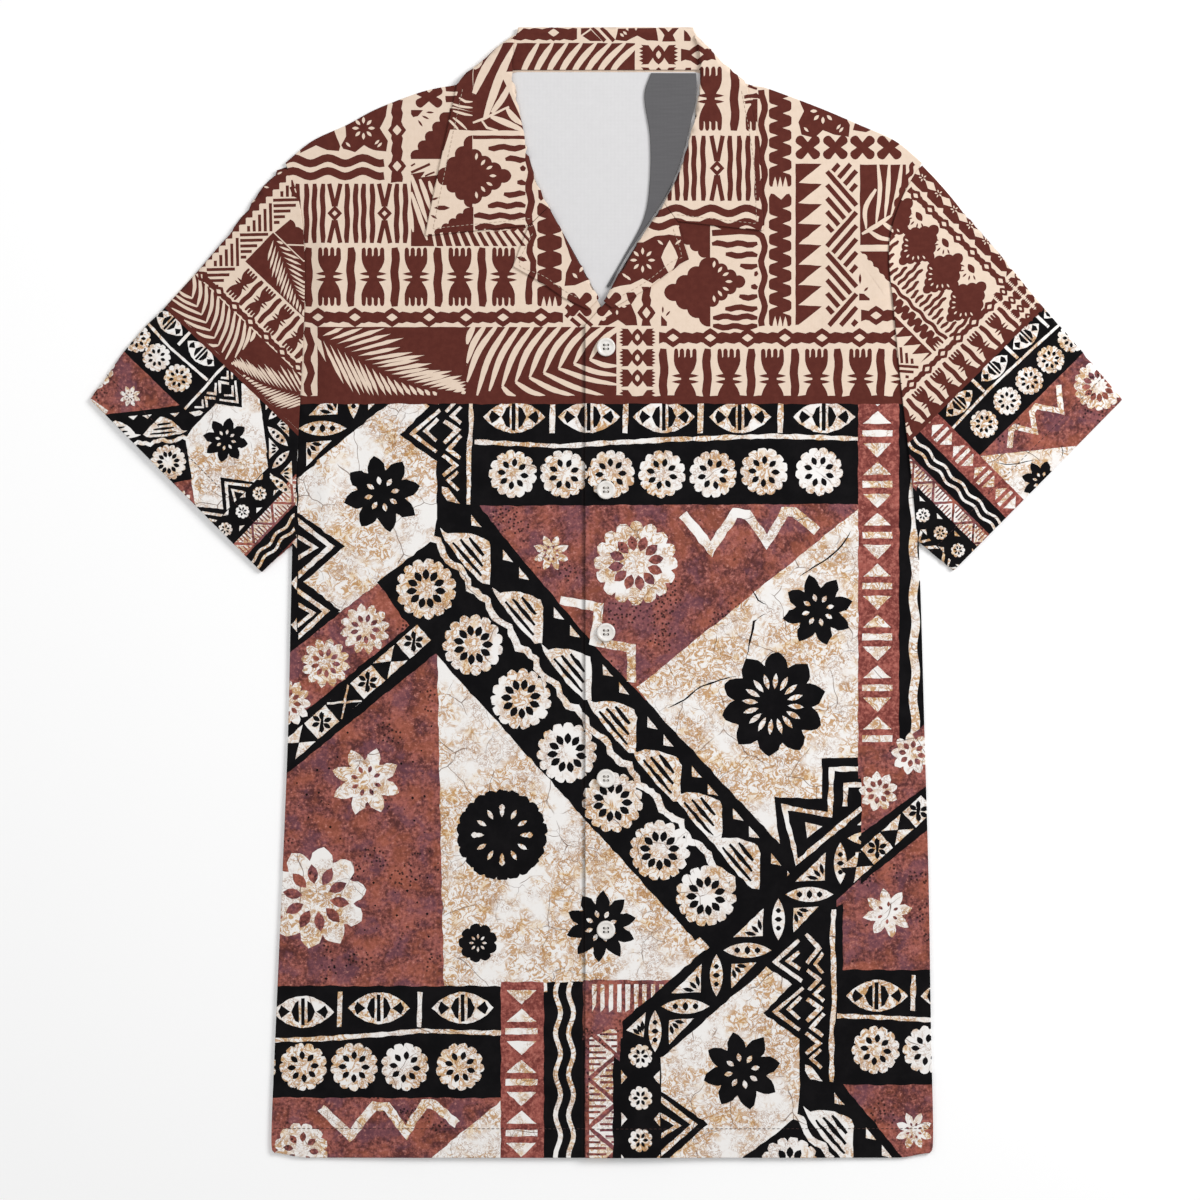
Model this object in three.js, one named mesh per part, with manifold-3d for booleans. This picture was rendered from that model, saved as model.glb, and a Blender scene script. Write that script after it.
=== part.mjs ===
// A short-sleeved camp-collar shirt, buttoned and laid flat on its back.
//
// Millimetres. +Z is up off the surface that it lies on, +Y runs from the hem to the collar and +X
// points to the wearer's left. The origin is under the middle of the shirt, on that surface.
//
// Every cloth piece is a closed wall. The pieces lie on each other in this order: collar fall, back
// with the sleeves' lower layers, wearer's right front, wearer's left front, collar leaves, lapels,
// buttons.

import * as THREE from "three";
import { mergeVertices } from "three/addons/utils/BufferGeometryUtils.js";
import Module from "manifold-3d";

const wasm = await Module();
wasm.setup();

// ---------------------------------------------------------------- driving dimensions

const CLOTH = 1.2; // wall of one layer
const GAP = 0.3; // between pieces that touch
const LAYER = CLOTH + GAP; // from one layer to the next
const SEAM = 0.45; // between two cut edges in plan

const HEM_Y = -395.9;
const COLLAR_TOP_Y = 395.2; // middle of the cloth at the roll, at the back of the neck
const BACK_NECK_Y = 365.0; // seam between the back and the collar

const UNDER_EDGE_X = 13.3; // front edge of the wearer's right front, underneath
const TOP_EDGE_X = -14.7; // front edge of the wearer's left front, on top
const BREAK_Y = 187.0; // where the top front's edge turns into its lapel
const UNDER_BREAK_Y = 172.0;

const ROLL = 0.75; // radius of a folded edge at the middle of the cloth
const SLEEVE_ROLL = 0.95;
const SHOULDER_ROLL = 2.2; // where the collar wraps over the shoulder
const BACK_ROLL = 1.35; // at the top of the neck

const SWELL = 1.1; // soft fullness in the middle of the fronts and sleeves
const OVERLAP_RAMP = 75.0; // over which the top front comes down off the under front

// Side seams from the hem to the underarm, one column for each side of the wearer.
const SIDE_SEAM = [
  { y: -392.8, right: -232.2, left: 226.8 },
  { y: -381.0, right: -234.4, left: 229.2 },
  { y: -300.0, right: -231.2, left: 227.6 },
  { y: -200.0, right: -226.8, left: 226.0 },
  { y: -100.0, right: -222.8, left: 223.2 },
  { y: -20.0, right: -221.0, left: 221.0 },
  { y: 34.0, right: -219.8, left: 219.1 },
];

// Armhole seams from the underarm to the shoulder point.
const ARMHOLE = [
  { y: 34.0, right: -219.8, left: 219.1 },
  { y: 85.0, right: -217.4, left: 214.2 },
  { y: 138.0, right: -214.7, left: 208.1 },
  { y: 195.0, right: -212.1, left: 202.5 },
  { y: 240.0, right: -212.1, left: 198.8 },
  { y: 272.0, right: -215.4, left: 206.4 },
  { y: 301.0, right: -224.6, left: 221.4 },
];

// Shoulder line from the shoulder point to the side of the neck.
const SHOULDER = [
  { y: 316.4, right: -205.6, left: 202.4 },
  { y: 327.6, right: -181.4, left: 177.4 },
  { y: 338.8, right: -160.4, left: 151.0 },
  { y: 349.8, right: -131.4, left: 121.8 },
  { y: 353.6, right: -116.0, left: 110.5 },
  { y: 355.0, right: -107.0, left: 102.5 },
];
const NECK_POINT = { x: 84.0, y: 360.4 };

// Seam between a front and the collar, hidden under the leaf, as distances from the middle.
const NECK_SEAM = [
  { x: 47.0, y: 267.5 },
  { x: 64.0, y: 300.0 },
  { x: 77.0, y: 335.0 },
  { x: 84.0, y: 360.4 },
];

// The folded edge of the neck opening, from the top of the collar down to the bottom of the V.
const NECK_EDGE = {
  right: [
    { x: -63.9, y: 391.0 },
    { x: -65.1, y: 365.0 },
    { x: -62.3, y: 349.7 },
    { x: -58.8, y: 328.7 },
    { x: -51.1, y: 295.8 },
    { x: -39.9, y: 270.5 },
    { x: -21.0, y: 236.5 },
    { x: -4.6, y: 206.0 },
  ],
  left: [
    { x: 62.9, y: 391.0 },
    { x: 65.8, y: 365.0 },
    { x: 64.4, y: 347.6 },
    { x: 59.5, y: 323.8 },
    { x: 51.2, y: 295.0 },
    { x: 40.3, y: 272.5 },
    { x: 17.0, y: 237.5 },
    { x: -2.0, y: 204.0 },
  ],
};
const GORGE = 5; // row of NECK_EDGE where the collar ends and the lapel starts

// Collar leaf: its free edge from the shoulder to the corner, then back along the gorge.
const LEAF = {
  right: {
    shoulder: { x: -103.8, y: 357.8 },
    middle: { x: -115.6, y: 303.0 },
    corner: { x: -126.7, y: 249.6 },
    notch: { x: -53.9, y: 256.9 },
  },
  left: {
    shoulder: { x: 98.6, y: 356.4 },
    middle: { x: 107.8, y: 303.0 },
    corner: { x: 110.2, y: 253.0 },
    notch: { x: 50.2, y: 259.6 },
  },
};

// Fold of the collar over the shoulder, from the leaf's edge to the top of the neck.
const COLLAR_SHOULDER = {
  right: [
    { x: -102.4, y: 360.4 },
    { x: -94.2, y: 367.0 },
    { x: -86.6, y: 372.4 },
    { x: -80.4, y: 378.2 },
    { x: -74.2, y: 383.6 },
    { x: -66.0, y: 389.6 },
  ],
  left: [
    { x: 97.0, y: 358.8 },
    { x: 91.8, y: 362.6 },
    { x: 86.2, y: 368.0 },
    { x: 79.6, y: 373.4 },
    { x: 74.2, y: 379.2 },
    { x: 63.8, y: 389.6 },
  ],
};

// Outer edge of the collar's fall, behind the back.
const FALL_EDGE = [
  { x: -96.0, y: 351.0 },
  { x: -60.0, y: 332.0 },
  { x: 0.0, y: 325.0 },
  { x: 60.0, y: 332.0 },
  { x: 94.0, y: 351.0 },
];

// Lapels: the free edge from the notch round the tip to the break.
const LAPEL = {
  right: [
    { x: -54.4, y: 255.9 },
    { x: -65.1, y: 228.2 },
    { x: -45.0, y: 216.9 },
    { x: -30.0, y: 206.4 },
    { x: -12.4, y: 198.0 },
  ],
  left: [
    { x: 50.6, y: 258.6 },
    { x: 57.4, y: 234.2 },
    { x: 47.4, y: 226.8 },
    { x: 30.6, y: 213.6 },
    { x: 4.4, y: 198.6 },
  ],
};

// Inner edge of the grey facing that shows inside the neck on the wearer's left.
const FACING_EDGE = [
  { x: 31.4, y: 363.8 },
  { x: 26.8, y: 347.0 },
  { x: 30.8, y: 318.0 },
  { x: 30.4, y: 285.0 },
  { x: 26.0, y: 261.0 },
  { x: 12.6, y: 235.6 },
  { x: 0.4, y: 214.6 },
];

const SLEEVE = {
  right: {
    top: [
      { x: -225.6, y: 301.4 },
      { x: -237.6, y: 288.0 },
      { x: -257.6, y: 260.2 },
      { x: -280.0, y: 232.2 },
      { x: -305.2, y: 204.2 },
      { x: -332.0, y: 176.0 },
      { x: -361.6, y: 135.6 },
    ],
    under: [
      { x: -220.8, y: 32.2 },
      { x: -241.2, y: 14.2 },
    ],
  },
  left: {
    top: [
      { x: 222.4, y: 299.6 },
      { x: 232.4, y: 288.0 },
      { x: 256.2, y: 260.2 },
      { x: 280.0, y: 232.2 },
      { x: 302.6, y: 204.2 },
      { x: 327.6, y: 176.0 },
      { x: 361.8, y: 135.2 },
    ],
    under: [
      { x: 220.6, y: 33.8 },
      { x: 243.4, y: 15.2 },
    ],
  },
};

// Soft folds in the upper layer: middle, direction in degrees, half length, half width, height.
const FOLDS = [
  { x: 176.0, y: 215.0, turn: 84, half: 84, wide: 21, high: 2.0 },
  { x: -180.0, y: 228.0, turn: 99, half: 72, wide: 21, high: 1.6 },
  { x: -164.0, y: 56.0, turn: 38, half: 66, wide: 20, high: 1.7 },
  { x: 162.0, y: 52.0, turn: 143, half: 66, wide: 20, high: 1.7 },
  { x: -150.0, y: -240.0, turn: 82, half: 96, wide: 24, high: 1.5 },
  { x: 142.0, y: -205.0, turn: 97, half: 100, wide: 25, high: 1.6 },
  { x: -290.0, y: 150.0, turn: 132, half: 66, wide: 19, high: 1.5 },
  { x: 286.0, y: 152.0, turn: 49, half: 66, wide: 19, high: 1.6 },
];

const BUTTON = { radius: 6.5, thick: 2.4, rim: 0.5, holeRadius: 0.9, holePitch: 1.35 };
const BUTTON_X = 0.0;
const BUTTON_YS = [171.7, 71.8, -27.9, -130.0, -236.0];

// Grid steps of the walls.
const STEPS = { side: 14, armhole: 10, half: 12, ring: 10, sleeve: 10, leaf: 6, roll: 4 };

// Columns of a front, as parts of its width from the front edge: close together by the overlap.
const FRONT_COLUMNS = [0, 0.055, 0.11, 0.17, 0.24, 0.32, 0.41, 0.5, 0.6, 0.7, 0.8, 0.9, 1];

// ---------------------------------------------------------------- heights

const smooth = (low, high, value) => THREE.MathUtils.smoothstep(value, low, high);

function foldHeight(x, y) {
  let height = 0;
  for (const fold of FOLDS) {
    const turn = THREE.MathUtils.degToRad(fold.turn);
    const along = (x - fold.x) * Math.cos(turn) + (y - fold.y) * Math.sin(turn);
    const across = (y - fold.y) * Math.cos(turn) - (x - fold.x) * Math.sin(turn);
    const shape = (along / fold.half) ** 2 + (across / fold.wide) ** 2;
    height += fold.high * Math.exp(-shape);
  }
  return height;
}

// The back and all above it ride up over the collar's fall.
const neckLift = (x, y) => LAYER * smooth(205, 325, y) * (1 - smooth(96, 206, Math.abs(x)));

// Fullness of the fronts dies out at the seams, the hem and under the collar.
function bodyFullness(x, y) {
  const inside = 1 - smooth(120, 205, Math.abs(x));
  const below = 1 - smooth(150, 250, y);
  const edge = (1 - smooth(195, 214, Math.abs(x))) * (1 - smooth(238, 300, y));
  return SWELL * inside * below + foldHeight(x, y) * edge;
}

const backBase = (x, y) => neckLift(x, y);
const underFrontBase = (x, y) => LAYER + neckLift(x, y) + bodyFullness(x, y);
const overlapLift = (x) => LAYER * (1 - smooth(UNDER_EDGE_X + 2, UNDER_EDGE_X + OVERLAP_RAMP, x));
const topFrontBase = (x, y) => underFrontBase(x, y) + overlapLift(x);

// ---------------------------------------------------------------- curves and patches

const at = (point) => new THREE.Vector2(point.x, point.y);
const mirrored = (points, sign) => points.map((point) => ({ x: sign * point.x, y: point.y }));

// Points at even spacing along a smooth line through the given ones.
function spline(points, count) {
  return new THREE.SplineCurve(points.map(at)).getSpacedPoints(count);
}

// Points along a smooth line at the given parts of its length.
function splineAt(points, parts) {
  const curve = new THREE.SplineCurve(points.map(at));
  return parts.map((part) => curve.getPointAt(part));
}

// Points at even spacing along each straight stretch, so that the corners are kept.
function corners(points, counts) {
  const out = [at(points[0])];
  for (let k = 1; k < points.length; k++) {
    const from = at(points[k - 1]);
    const to = at(points[k]);
    for (let s = 1; s <= counts[k - 1]; s++) out.push(from.clone().lerp(to, s / counts[k - 1]));
  }
  return out;
}

const joined = (...lines) => lines.flatMap((line, k) => (k ? line.slice(1) : line));

// A line moved sideways in plan; a positive distance is to the left of its direction.
function offset(line, distance) {
  return line.map((point, k) => {
    const before = line[Math.max(k - 1, 0)];
    const after = line[Math.min(k + 1, line.length - 1)];
    const along = after.clone().sub(before).normalize();
    return new THREE.Vector2(point.x - along.y * distance, point.y + along.x * distance);
  });
}

// A Coons patch between four lines: rows of plan points from the bottom line to the top line.
// The columns are even unless their places from 0 to 1 are given.
function patch(bottom, top, left, right, places = null) {
  const columns = bottom.length - 1;
  const rows = left.length - 1;
  return left.map((_, j) => {
    const v = j / rows;
    return bottom.map((__, i) => {
      const u = places ? places[i] : i / columns;
      const mix = (key) =>
        (1 - v) * bottom[i][key] +
        v * top[i][key] +
        (1 - u) * left[j][key] +
        u * right[j][key] -
        (1 - u) * (1 - v) * bottom[0][key] -
        u * (1 - v) * bottom[columns][key] -
        (1 - u) * v * top[0][key] -
        u * v * top[columns][key];
      return new THREE.Vector2(mix("x"), mix("y"));
    });
  });
}

// ---------------------------------------------------------------- walls

// A closed wall between two matching grids of points. A ring's rows close on themselves.
function wall(outer, inner, ring = false) {
  const rows = outer.length;
  const columns = outer[0].length;
  const position = [...outer.flat(), ...inner.flat()].flatMap((p) => [p.x, p.y, p.z]);
  const index = [];
  const innerStart = rows * columns;
  const quad = (a, b, c, d) => index.push(a, b, c, a, c, d);
  const last = ring ? columns : columns - 1;
  for (let j = 0; j < rows - 1; j++) {
    for (let i = 0; i < last; i++) {
      const next = (i + 1) % columns;
      const a = j * columns + i;
      const b = j * columns + next;
      const c = (j + 1) * columns + next;
      const d = (j + 1) * columns + i;
      quad(a, b, c, d);
      quad(innerStart + a, innerStart + d, innerStart + c, innerStart + b);
    }
  }
  const rim = (a, b) => quad(a, innerStart + a, innerStart + b, b);
  const topRow = (rows - 1) * columns;
  for (let i = 0; i < last; i++) {
    const next = (i + 1) % columns;
    rim(i, next);
    rim(topRow + next, topRow + i);
  }
  if (!ring) {
    for (let j = 0; j < rows - 1; j++) {
      rim((j + 1) * columns, j * columns);
      rim(j * columns + columns - 1, (j + 1) * columns + columns - 1);
    }
  }
  const geometry = new THREE.BufferGeometry();
  geometry.setAttribute("position", new THREE.Float32BufferAttribute(position, 3));
  geometry.setIndex(index);
  return facingOut(geometry);
}

function signedVolume(geometry) {
  const points = geometry.getAttribute("position");
  const index = geometry.index.array;
  const [a, b, c] = [new THREE.Vector3(), new THREE.Vector3(), new THREE.Vector3()];
  let total = 0;
  for (let k = 0; k < index.length; k += 3) {
    a.fromBufferAttribute(points, index[k]);
    b.fromBufferAttribute(points, index[k + 1]);
    c.fromBufferAttribute(points, index[k + 2]);
    total += a.dot(b.cross(c)) / 6;
  }
  return total;
}

function facingOut(geometry) {
  if (signedVolume(geometry) < 0) {
    const index = geometry.index.array;
    for (let k = 0; k < index.length; k += 3) {
      [index[k + 1], index[k + 2]] = [index[k + 2], index[k + 1]];
    }
  }
  return geometry;
}

// A flat-lying panel: plan points with the underside at base(x, y).
function panel(plan, base, thickness = CLOTH) {
  const raised = (extra) =>
    plan.map((row) => row.map((p) => new THREE.Vector3(p.x, p.y, base(p.x, p.y) + extra)));
  return wall(raised(thickness), raised(0));
}

// A folded piece: rows of points along the middle of the cloth, thickened both ways.
function foldedWall(rows, ring = false, thickness = CLOTH) {
  const columns = rows[0].length;
  const normal = (j, i) => {
    const before = ring ? (i + columns - 1) % columns : Math.max(i - 1, 0);
    const after = ring ? (i + 1) % columns : Math.min(i + 1, columns - 1);
    const across = rows[j][after].clone().sub(rows[j][before]);
    const along = rows[Math.min(j + 1, rows.length - 1)][i]
      .clone()
      .sub(rows[Math.max(j - 1, 0)][i]);
    return across.cross(along).normalize();
  };
  const moved = (distance) =>
    rows.map((row, j) => row.map((p, i) => p.clone().addScaledVector(normal(j, i), distance)));
  return wall(moved(thickness / 2), moved(-thickness / 2), ring);
}

// Half a turn of cloth from height `high` down to height `low`, whose outermost point is `edge`.
function rollPoints(edge, outward, high, low, steps) {
  const radius = (high - low) / 2;
  const points = [];
  for (let k = 0; k <= steps; k++) {
    const angle = (Math.PI * k) / steps;
    const out = radius * (Math.sin(angle) - 1);
    const z = (high + low) / 2 + radius * Math.cos(angle);
    points.push(new THREE.Vector3(edge.x + outward.x * out, edge.y + outward.y * out, z));
  }
  return points;
}

// Unit vectors square to a line in plan, to its left for side 1 and to its right for side -1.
function squareTo(line, side) {
  return offset(line, side).map((point, k) => point.sub(line[k]));
}

// ---------------------------------------------------------------- body panels

const seamColumn = (table, side) => table.map((row) => ({ x: row[side], y: row.y }));

function sideLine(side) {
  return joined(
    spline(seamColumn(SIDE_SEAM, side), STEPS.side),
    spline(seamColumn(ARMHOLE, side), STEPS.armhole),
  );
}

function shoulderPoints(side) {
  const neck = { x: (side === "left" ? 1 : -1) * NECK_POINT.x, y: NECK_POINT.y };
  return [seamColumn(ARMHOLE, side).at(-1), ...seamColumn(SHOULDER, side), neck];
}

// The hem, with its corners slightly rounded.
function hemLine(fromX, toX, places) {
  return places.map((place) => {
    const x = THREE.MathUtils.lerp(fromX, toX, place);
    const fromCorner = Math.min(x - SIDE_SEAM[0].right, SIDE_SEAM[0].left - x);
    const rise = (SIDE_SEAM[0].y - HEM_Y) * (1 - smooth(0, 22, fromCorner));
    return new THREE.Vector2(x, HEM_Y + rise);
  });
}

const even = (count) => Array.from({ length: count + 1 }, (_, k) => k / count);

function backPanel() {
  const half = STEPS.half;
  const leftEnd = shoulderPoints("right");
  const rightEnd = shoulderPoints("left");
  const neck = [
    leftEnd.at(-1),
    { x: -62, y: BACK_NECK_Y - SEAM },
    { x: 62, y: BACK_NECK_Y - SEAM },
    rightEnd.at(-1),
  ];
  const shoulderSteps = 6;
  const top = joined(
    spline(leftEnd, shoulderSteps),
    corners(neck, [1, 2 * half - 2 * shoulderSteps - 2, 1]),
    spline(rightEnd, shoulderSteps).reverse(),
  );
  const bottom = hemLine(SIDE_SEAM[0].right, SIDE_SEAM[0].left, even(2 * half));
  return panel(patch(bottom, top, sideLine("right"), sideLine("left")), backBase);
}

// The front's inner edge from the hem up: front edge, neck fold, collar seam.
function frontEdge(side) {
  const sign = side === "left" ? 1 : -1;
  const edgeX = side === "left" ? TOP_EDGE_X : UNDER_EDGE_X;
  const breakY = side === "left" ? BREAK_Y : UNDER_BREAK_Y;
  const clear = 2 * ROLL + SEAM;
  const fold = offset(spline(NECK_EDGE[side].slice(GORGE), 4), sign * clear).reverse();
  const seam = spline(mirrored(NECK_SEAM, sign), 4);
  const hem = { x: edgeX, y: HEM_Y };
  const straight = corners([hem, { x: edgeX, y: breakY }], [STEPS.side + STEPS.armhole - 10]);
  const turn = corners([{ x: edgeX, y: breakY }, fold[0]], [1]);
  return joined(straight, turn, fold, [fold.at(-1), seam[0]], seam);
}

function frontPanel(side) {
  const inner = frontEdge(side);
  const outer = sideLine(side);
  const places = FRONT_COLUMNS;
  const shoulder = splineAt(shoulderPoints(side).reverse(), places);
  if (side === "left") {
    const bottom = hemLine(TOP_EDGE_X, SIDE_SEAM[0].left, places);
    return panel(patch(bottom, shoulder, inner, outer, places), topFrontBase);
  }
  const mirroredPlaces = places.map((place) => 1 - place).reverse();
  const bottom = hemLine(SIDE_SEAM[0].right, UNDER_EDGE_X, mirroredPlaces);
  return panel(patch(bottom, shoulder.reverse(), outer, inner, mirroredPlaces), underFrontBase);
}

// ---------------------------------------------------------------- sleeves

// A flattened tube from the armhole to the cuff, with a fold along each edge.
function sleeveTube(side) {
  const sign = side === "left" ? 1 : -1;
  const across = STEPS.ring;
  const armhole = offset(
    spline(seamColumn(ARMHOLE, side), across).reverse(),
    sign * (SEAM + 0.5),
  );
  const topEdge = spline(SLEEVE[side].top, STEPS.sleeve);
  const underEdge = spline(SLEEVE[side].under, STEPS.sleeve);
  armhole[0] = topEdge[0];
  armhole[across] = underEdge[0];
  const cuff = corners([topEdge.at(-1), underEdge.at(-1)], [across]);
  const plan = patch(armhole, cuff, topEdge, underEdge);
  const topOut = squareTo(topEdge, sign);
  const underOut = squareTo(underEdge, -sign);
  const low = CLOTH / 2;
  const high = low + 2 * SLEEVE_ROLL;
  const rows = plan.map((row, j) => {
    const inside = row.slice(1, -1);
    const upper = inside.map((p, i) => {
      const u = (i + 1) / across;
      const full = Math.sin(Math.PI * u) ** 0.7;
      const z = high + full * (SWELL + foldHeight(p.x, p.y) * smooth(0, 2, j));
      return new THREE.Vector3(p.x, p.y, z);
    });
    const lower = inside.map((p) => new THREE.Vector3(p.x, p.y, low)).reverse();
    return [
      ...upper,
      ...rollPoints(row.at(-1), underOut[j], high, low, STEPS.roll),
      ...lower,
      ...rollPoints(row[0], topOut[j], high, low, STEPS.roll).reverse(),
    ];
  });
  return foldedWall(rows, true);
}

// ---------------------------------------------------------------- collar

const frontBaseOf = (side) => (side === "left" ? topFrontBase : underFrontBase);

// Middle of the cloth of the front, and of a piece that lies on it.
const frontMiddle = (side, p) => frontBaseOf(side)(p.x, p.y) + CLOTH / 2;
const leafMiddle = (side, p) => frontMiddle(side, p) + LAYER;

// One leaf with the fold along the neck and the stand under it, which reaches the collar seam.
function collarLeaf(side) {
  const sign = side === "left" ? 1 : -1;
  const leaf = LEAF[side];
  const edge = spline(NECK_EDGE[side].slice(0, GORGE + 1), 10);
  const shoulder = offset(spline(COLLAR_SHOULDER[side], STEPS.leaf), sign * 3).reverse();
  const gorge = corners([edge.at(-1), leaf.notch, leaf.corner], [2, STEPS.leaf - 2]);
  const free = joined(
    corners([shoulder.at(-1), leaf.shoulder], [1]),
    spline([leaf.shoulder, leaf.middle, leaf.corner], 9),
  );
  shoulder[0] = edge[0];
  const plan = patch(shoulder, gorge, edge, free);
  const outward = squareTo(edge, -sign);
  const seam = new THREE.SplineCurve(mirrored(NECK_SEAM, sign).map(at)).getPoints(60);
  const seamX = (y) =>
    seam.reduce((best, p) => (Math.abs(p.y - y) < Math.abs(best.y - y) ? p : best)).x;
  const rows = plan.map((row, j) => {
    const low = frontMiddle(side, row[0]);
    const high = low + LAYER;
    const top = row.slice(1).map((p) => new THREE.Vector3(p.x, p.y, leafMiddle(side, p)));
    const rolled = rollPoints(row[0], outward[j], high, low, STEPS.roll);
    const end = rolled.at(-1).clone();
    if (end.y < NECK_POINT.y) end.x = seamX(end.y) - sign * 2 * SEAM;
    end.x = sign * Math.max(sign * end.x, sign * rolled.at(-1).x + 0.6);
    return [...top.reverse(), ...rolled, end];
  });
  return foldedWall(rows);
}

// The band at the back of the neck, its roll, the fall behind the back, and the wraps over both
// shoulders, as one folded strip.
function collarBack() {
  const wrap = 5;
  const band = 8;
  const line = joined(
    spline(COLLAR_SHOULDER.right, wrap),
    corners(
      [
        COLLAR_SHOULDER.right.at(-1),
        { x: -60, y: COLLAR_TOP_Y },
        { x: 58.5, y: COLLAR_TOP_Y },
        COLLAR_SHOULDER.left.at(-1),
      ],
      [1, band, 1],
    ),
    spline(COLLAR_SHOULDER.left, wrap).reverse(),
  );
  const outward = squareTo(line, 1);
  const fall = spline(FALL_EDGE, line.length - 1);
  const low = CLOTH / 2;
  const rows = line.map((p, j) => {
    const side = p.x > 0 ? "left" : "right";
    const atBand = j > wrap && j < line.length - 1 - wrap;
    const inner = atBand
      ? new THREE.Vector2(p.x, BACK_NECK_Y)
      : p.clone().addScaledVector(outward[j], -12);
    const wrapTop = Math.min(leafMiddle(side, inner) - 0.1, low + 2 * SHOULDER_ROLL);
    const high = atBand ? low + 2 * BACK_ROLL : wrapTop;
    const innerZ = atBand ? low + LAYER : wrapTop;
    const rolled = rollPoints(p, outward[j], high, low, STEPS.roll + 1);
    const first = new THREE.Vector3(inner.x, inner.y, innerZ);
    const second = first.clone().lerp(rolled[0], 0.55);
    const lower = rolled.at(-1);
    const end = new THREE.Vector3(fall[j].x, fall[j].y, low);
    return [first, second, ...rolled, lower.clone().lerp(end, 0.5), end];
  });
  return foldedWall(rows);
}

function solid(geometry) {
  const bare = new THREE.BufferGeometry();
  bare.setAttribute("position", geometry.getAttribute("position"));
  bare.setIndex(geometry.index);
  const merged = mergeVertices(bare, 1e-4);
  return new wasm.Manifold(
    new wasm.Mesh({
      numProp: 3,
      vertProperties: merged.attributes.position.array,
      triVerts: new Uint32Array(merged.index.array),
    }),
  );
}

function geometryOf(manifold) {
  const mesh = manifold.getMesh();
  const geometry = new THREE.BufferGeometry();
  geometry.setAttribute("position", new THREE.BufferAttribute(mesh.vertProperties, 3));
  geometry.setIndex(new THREE.BufferAttribute(mesh.triVerts, 1));
  return geometry;
}

function collar() {
  const parts = [collarBack(), collarLeaf("right"), collarLeaf("left")].map(solid);
  const whole = parts[0].add(parts[1]).add(parts[2]).simplify(0.02);
  // The walls meet over a width, which can trap a pocket: only the outer skin is kept.
  const skins = whole.decompose().sort((a, b) => b.volume() - a.volume());
  return geometryOf(skins[0]);
}

// The turned-out facing of a front: lies on the front and folds round the neck edge.
function lapel(side) {
  const sign = side === "left" ? 1 : -1;
  const steps = 8;
  const edge = spline(NECK_EDGE[side].slice(GORGE), steps);
  edge[0].lerp(edge[1], 0.12);
  const free = corners(LAPEL[side], [2, 2, 2, 2]);
  const gorge = corners([edge[0], free[0]], [2]);
  const end = corners([edge.at(-1), free.at(-1)], [2]);
  const outward = squareTo(edge, -sign);
  const plan = patch(gorge, end, edge, free);
  const rows = plan.map((row, j) => {
    const low = frontMiddle(side, row[0]);
    const top = row.slice(1).map((p) => new THREE.Vector3(p.x, p.y, leafMiddle(side, p)));
    return [...top.reverse(), ...rollPoints(row[0], outward[j], low + LAYER, low, STEPS.roll)];
  });
  return foldedWall(rows);
}

// The grey facing that shows inside the neck, lying on the back.
function neckFacing() {
  const steps = 9;
  const innerEdge = spline(FACING_EDGE, steps);
  const outer = [{ x: 64.6, y: 363.8 }, ...NECK_EDGE.left.slice(2)];
  const outerEdge = offset(spline(outer, steps), -1.3);
  outerEdge[0].y = FACING_EDGE[0].y;
  outerEdge[steps].set(1.6, 212.4);
  const top = corners([innerEdge[0], outerEdge[0]], [3]);
  const bottom = corners([innerEdge[steps], outerEdge[steps]], [3]);
  const plan = patch(bottom, top, innerEdge.reverse(), outerEdge.reverse());
  return panel(plan, (x, y) => backBase(x, y) + LAYER, 1.0);
}

// ---------------------------------------------------------------- buttons

function buttonSolid() {
  const { radius, thick, rim, holeRadius, holePitch } = BUTTON;
  const profile = [
    [0, 0],
    [radius - 1.2, 0],
    [radius, 0.9],
    [radius, thick - 0.5],
    [radius - 0.6, thick],
    [radius - 1.5, thick - 0.1],
    [radius - 2.3, thick - rim],
    [0, thick - rim],
  ].map(([r, z]) => new THREE.Vector2(r, z));
  const disc = new THREE.LatheGeometry(profile, 20).rotateX(Math.PI / 2);
  let body = solid(facingOut(closedLathe(disc)));
  for (const [sx, sy] of [[1, 1], [-1, 1], [-1, -1], [1, -1]]) {
    const hole = new THREE.CylinderGeometry(holeRadius, holeRadius, 2 * thick, 8);
    hole.rotateX(Math.PI / 2).translate(sx * holePitch, sy * holePitch, thick / 2);
    body = body.subtract(solid(facingOut(closedLathe(hole))));
  }
  return geometryOf(body);
}

// Drops the normals and texture coordinates, so that the seam and pole points merge.
function closedLathe(geometry) {
  geometry.deleteAttribute("normal");
  geometry.deleteAttribute("uv");
  return mergeVertices(geometry, 1e-4);
}

// The highest point of the top front under a button.
function buttonSeat(y) {
  let seat = 0;
  for (let k = 0; k < 12; k++) {
    const angle = (Math.PI * k) / 6;
    const x = BUTTON_X + BUTTON.radius * Math.cos(angle);
    seat = Math.max(seat, topFrontBase(x, y + BUTTON.radius * Math.sin(angle)));
  }
  return Math.max(seat, topFrontBase(BUTTON_X, y)) + CLOTH + GAP;
}

// ---------------------------------------------------------------- assembly

const printedCloth = new THREE.MeshStandardMaterial({ color: 0x8a5a4c, roughness: 0.85 });
const insideCloth = new THREE.MeshStandardMaterial({ color: 0xdcdcdc, roughness: 0.9 });
const greyCloth = new THREE.MeshStandardMaterial({ color: 0x676767, roughness: 0.9 });
const pearl = new THREE.MeshStandardMaterial({ color: 0xeae8e4, roughness: 0.3 });

const shirt = new THREE.Group();

function addPiece(name, geometry, material) {
  const mesh = new THREE.Mesh(geometry, material);
  mesh.name = name;
  shirt.add(mesh);
  return mesh;
}

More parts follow.
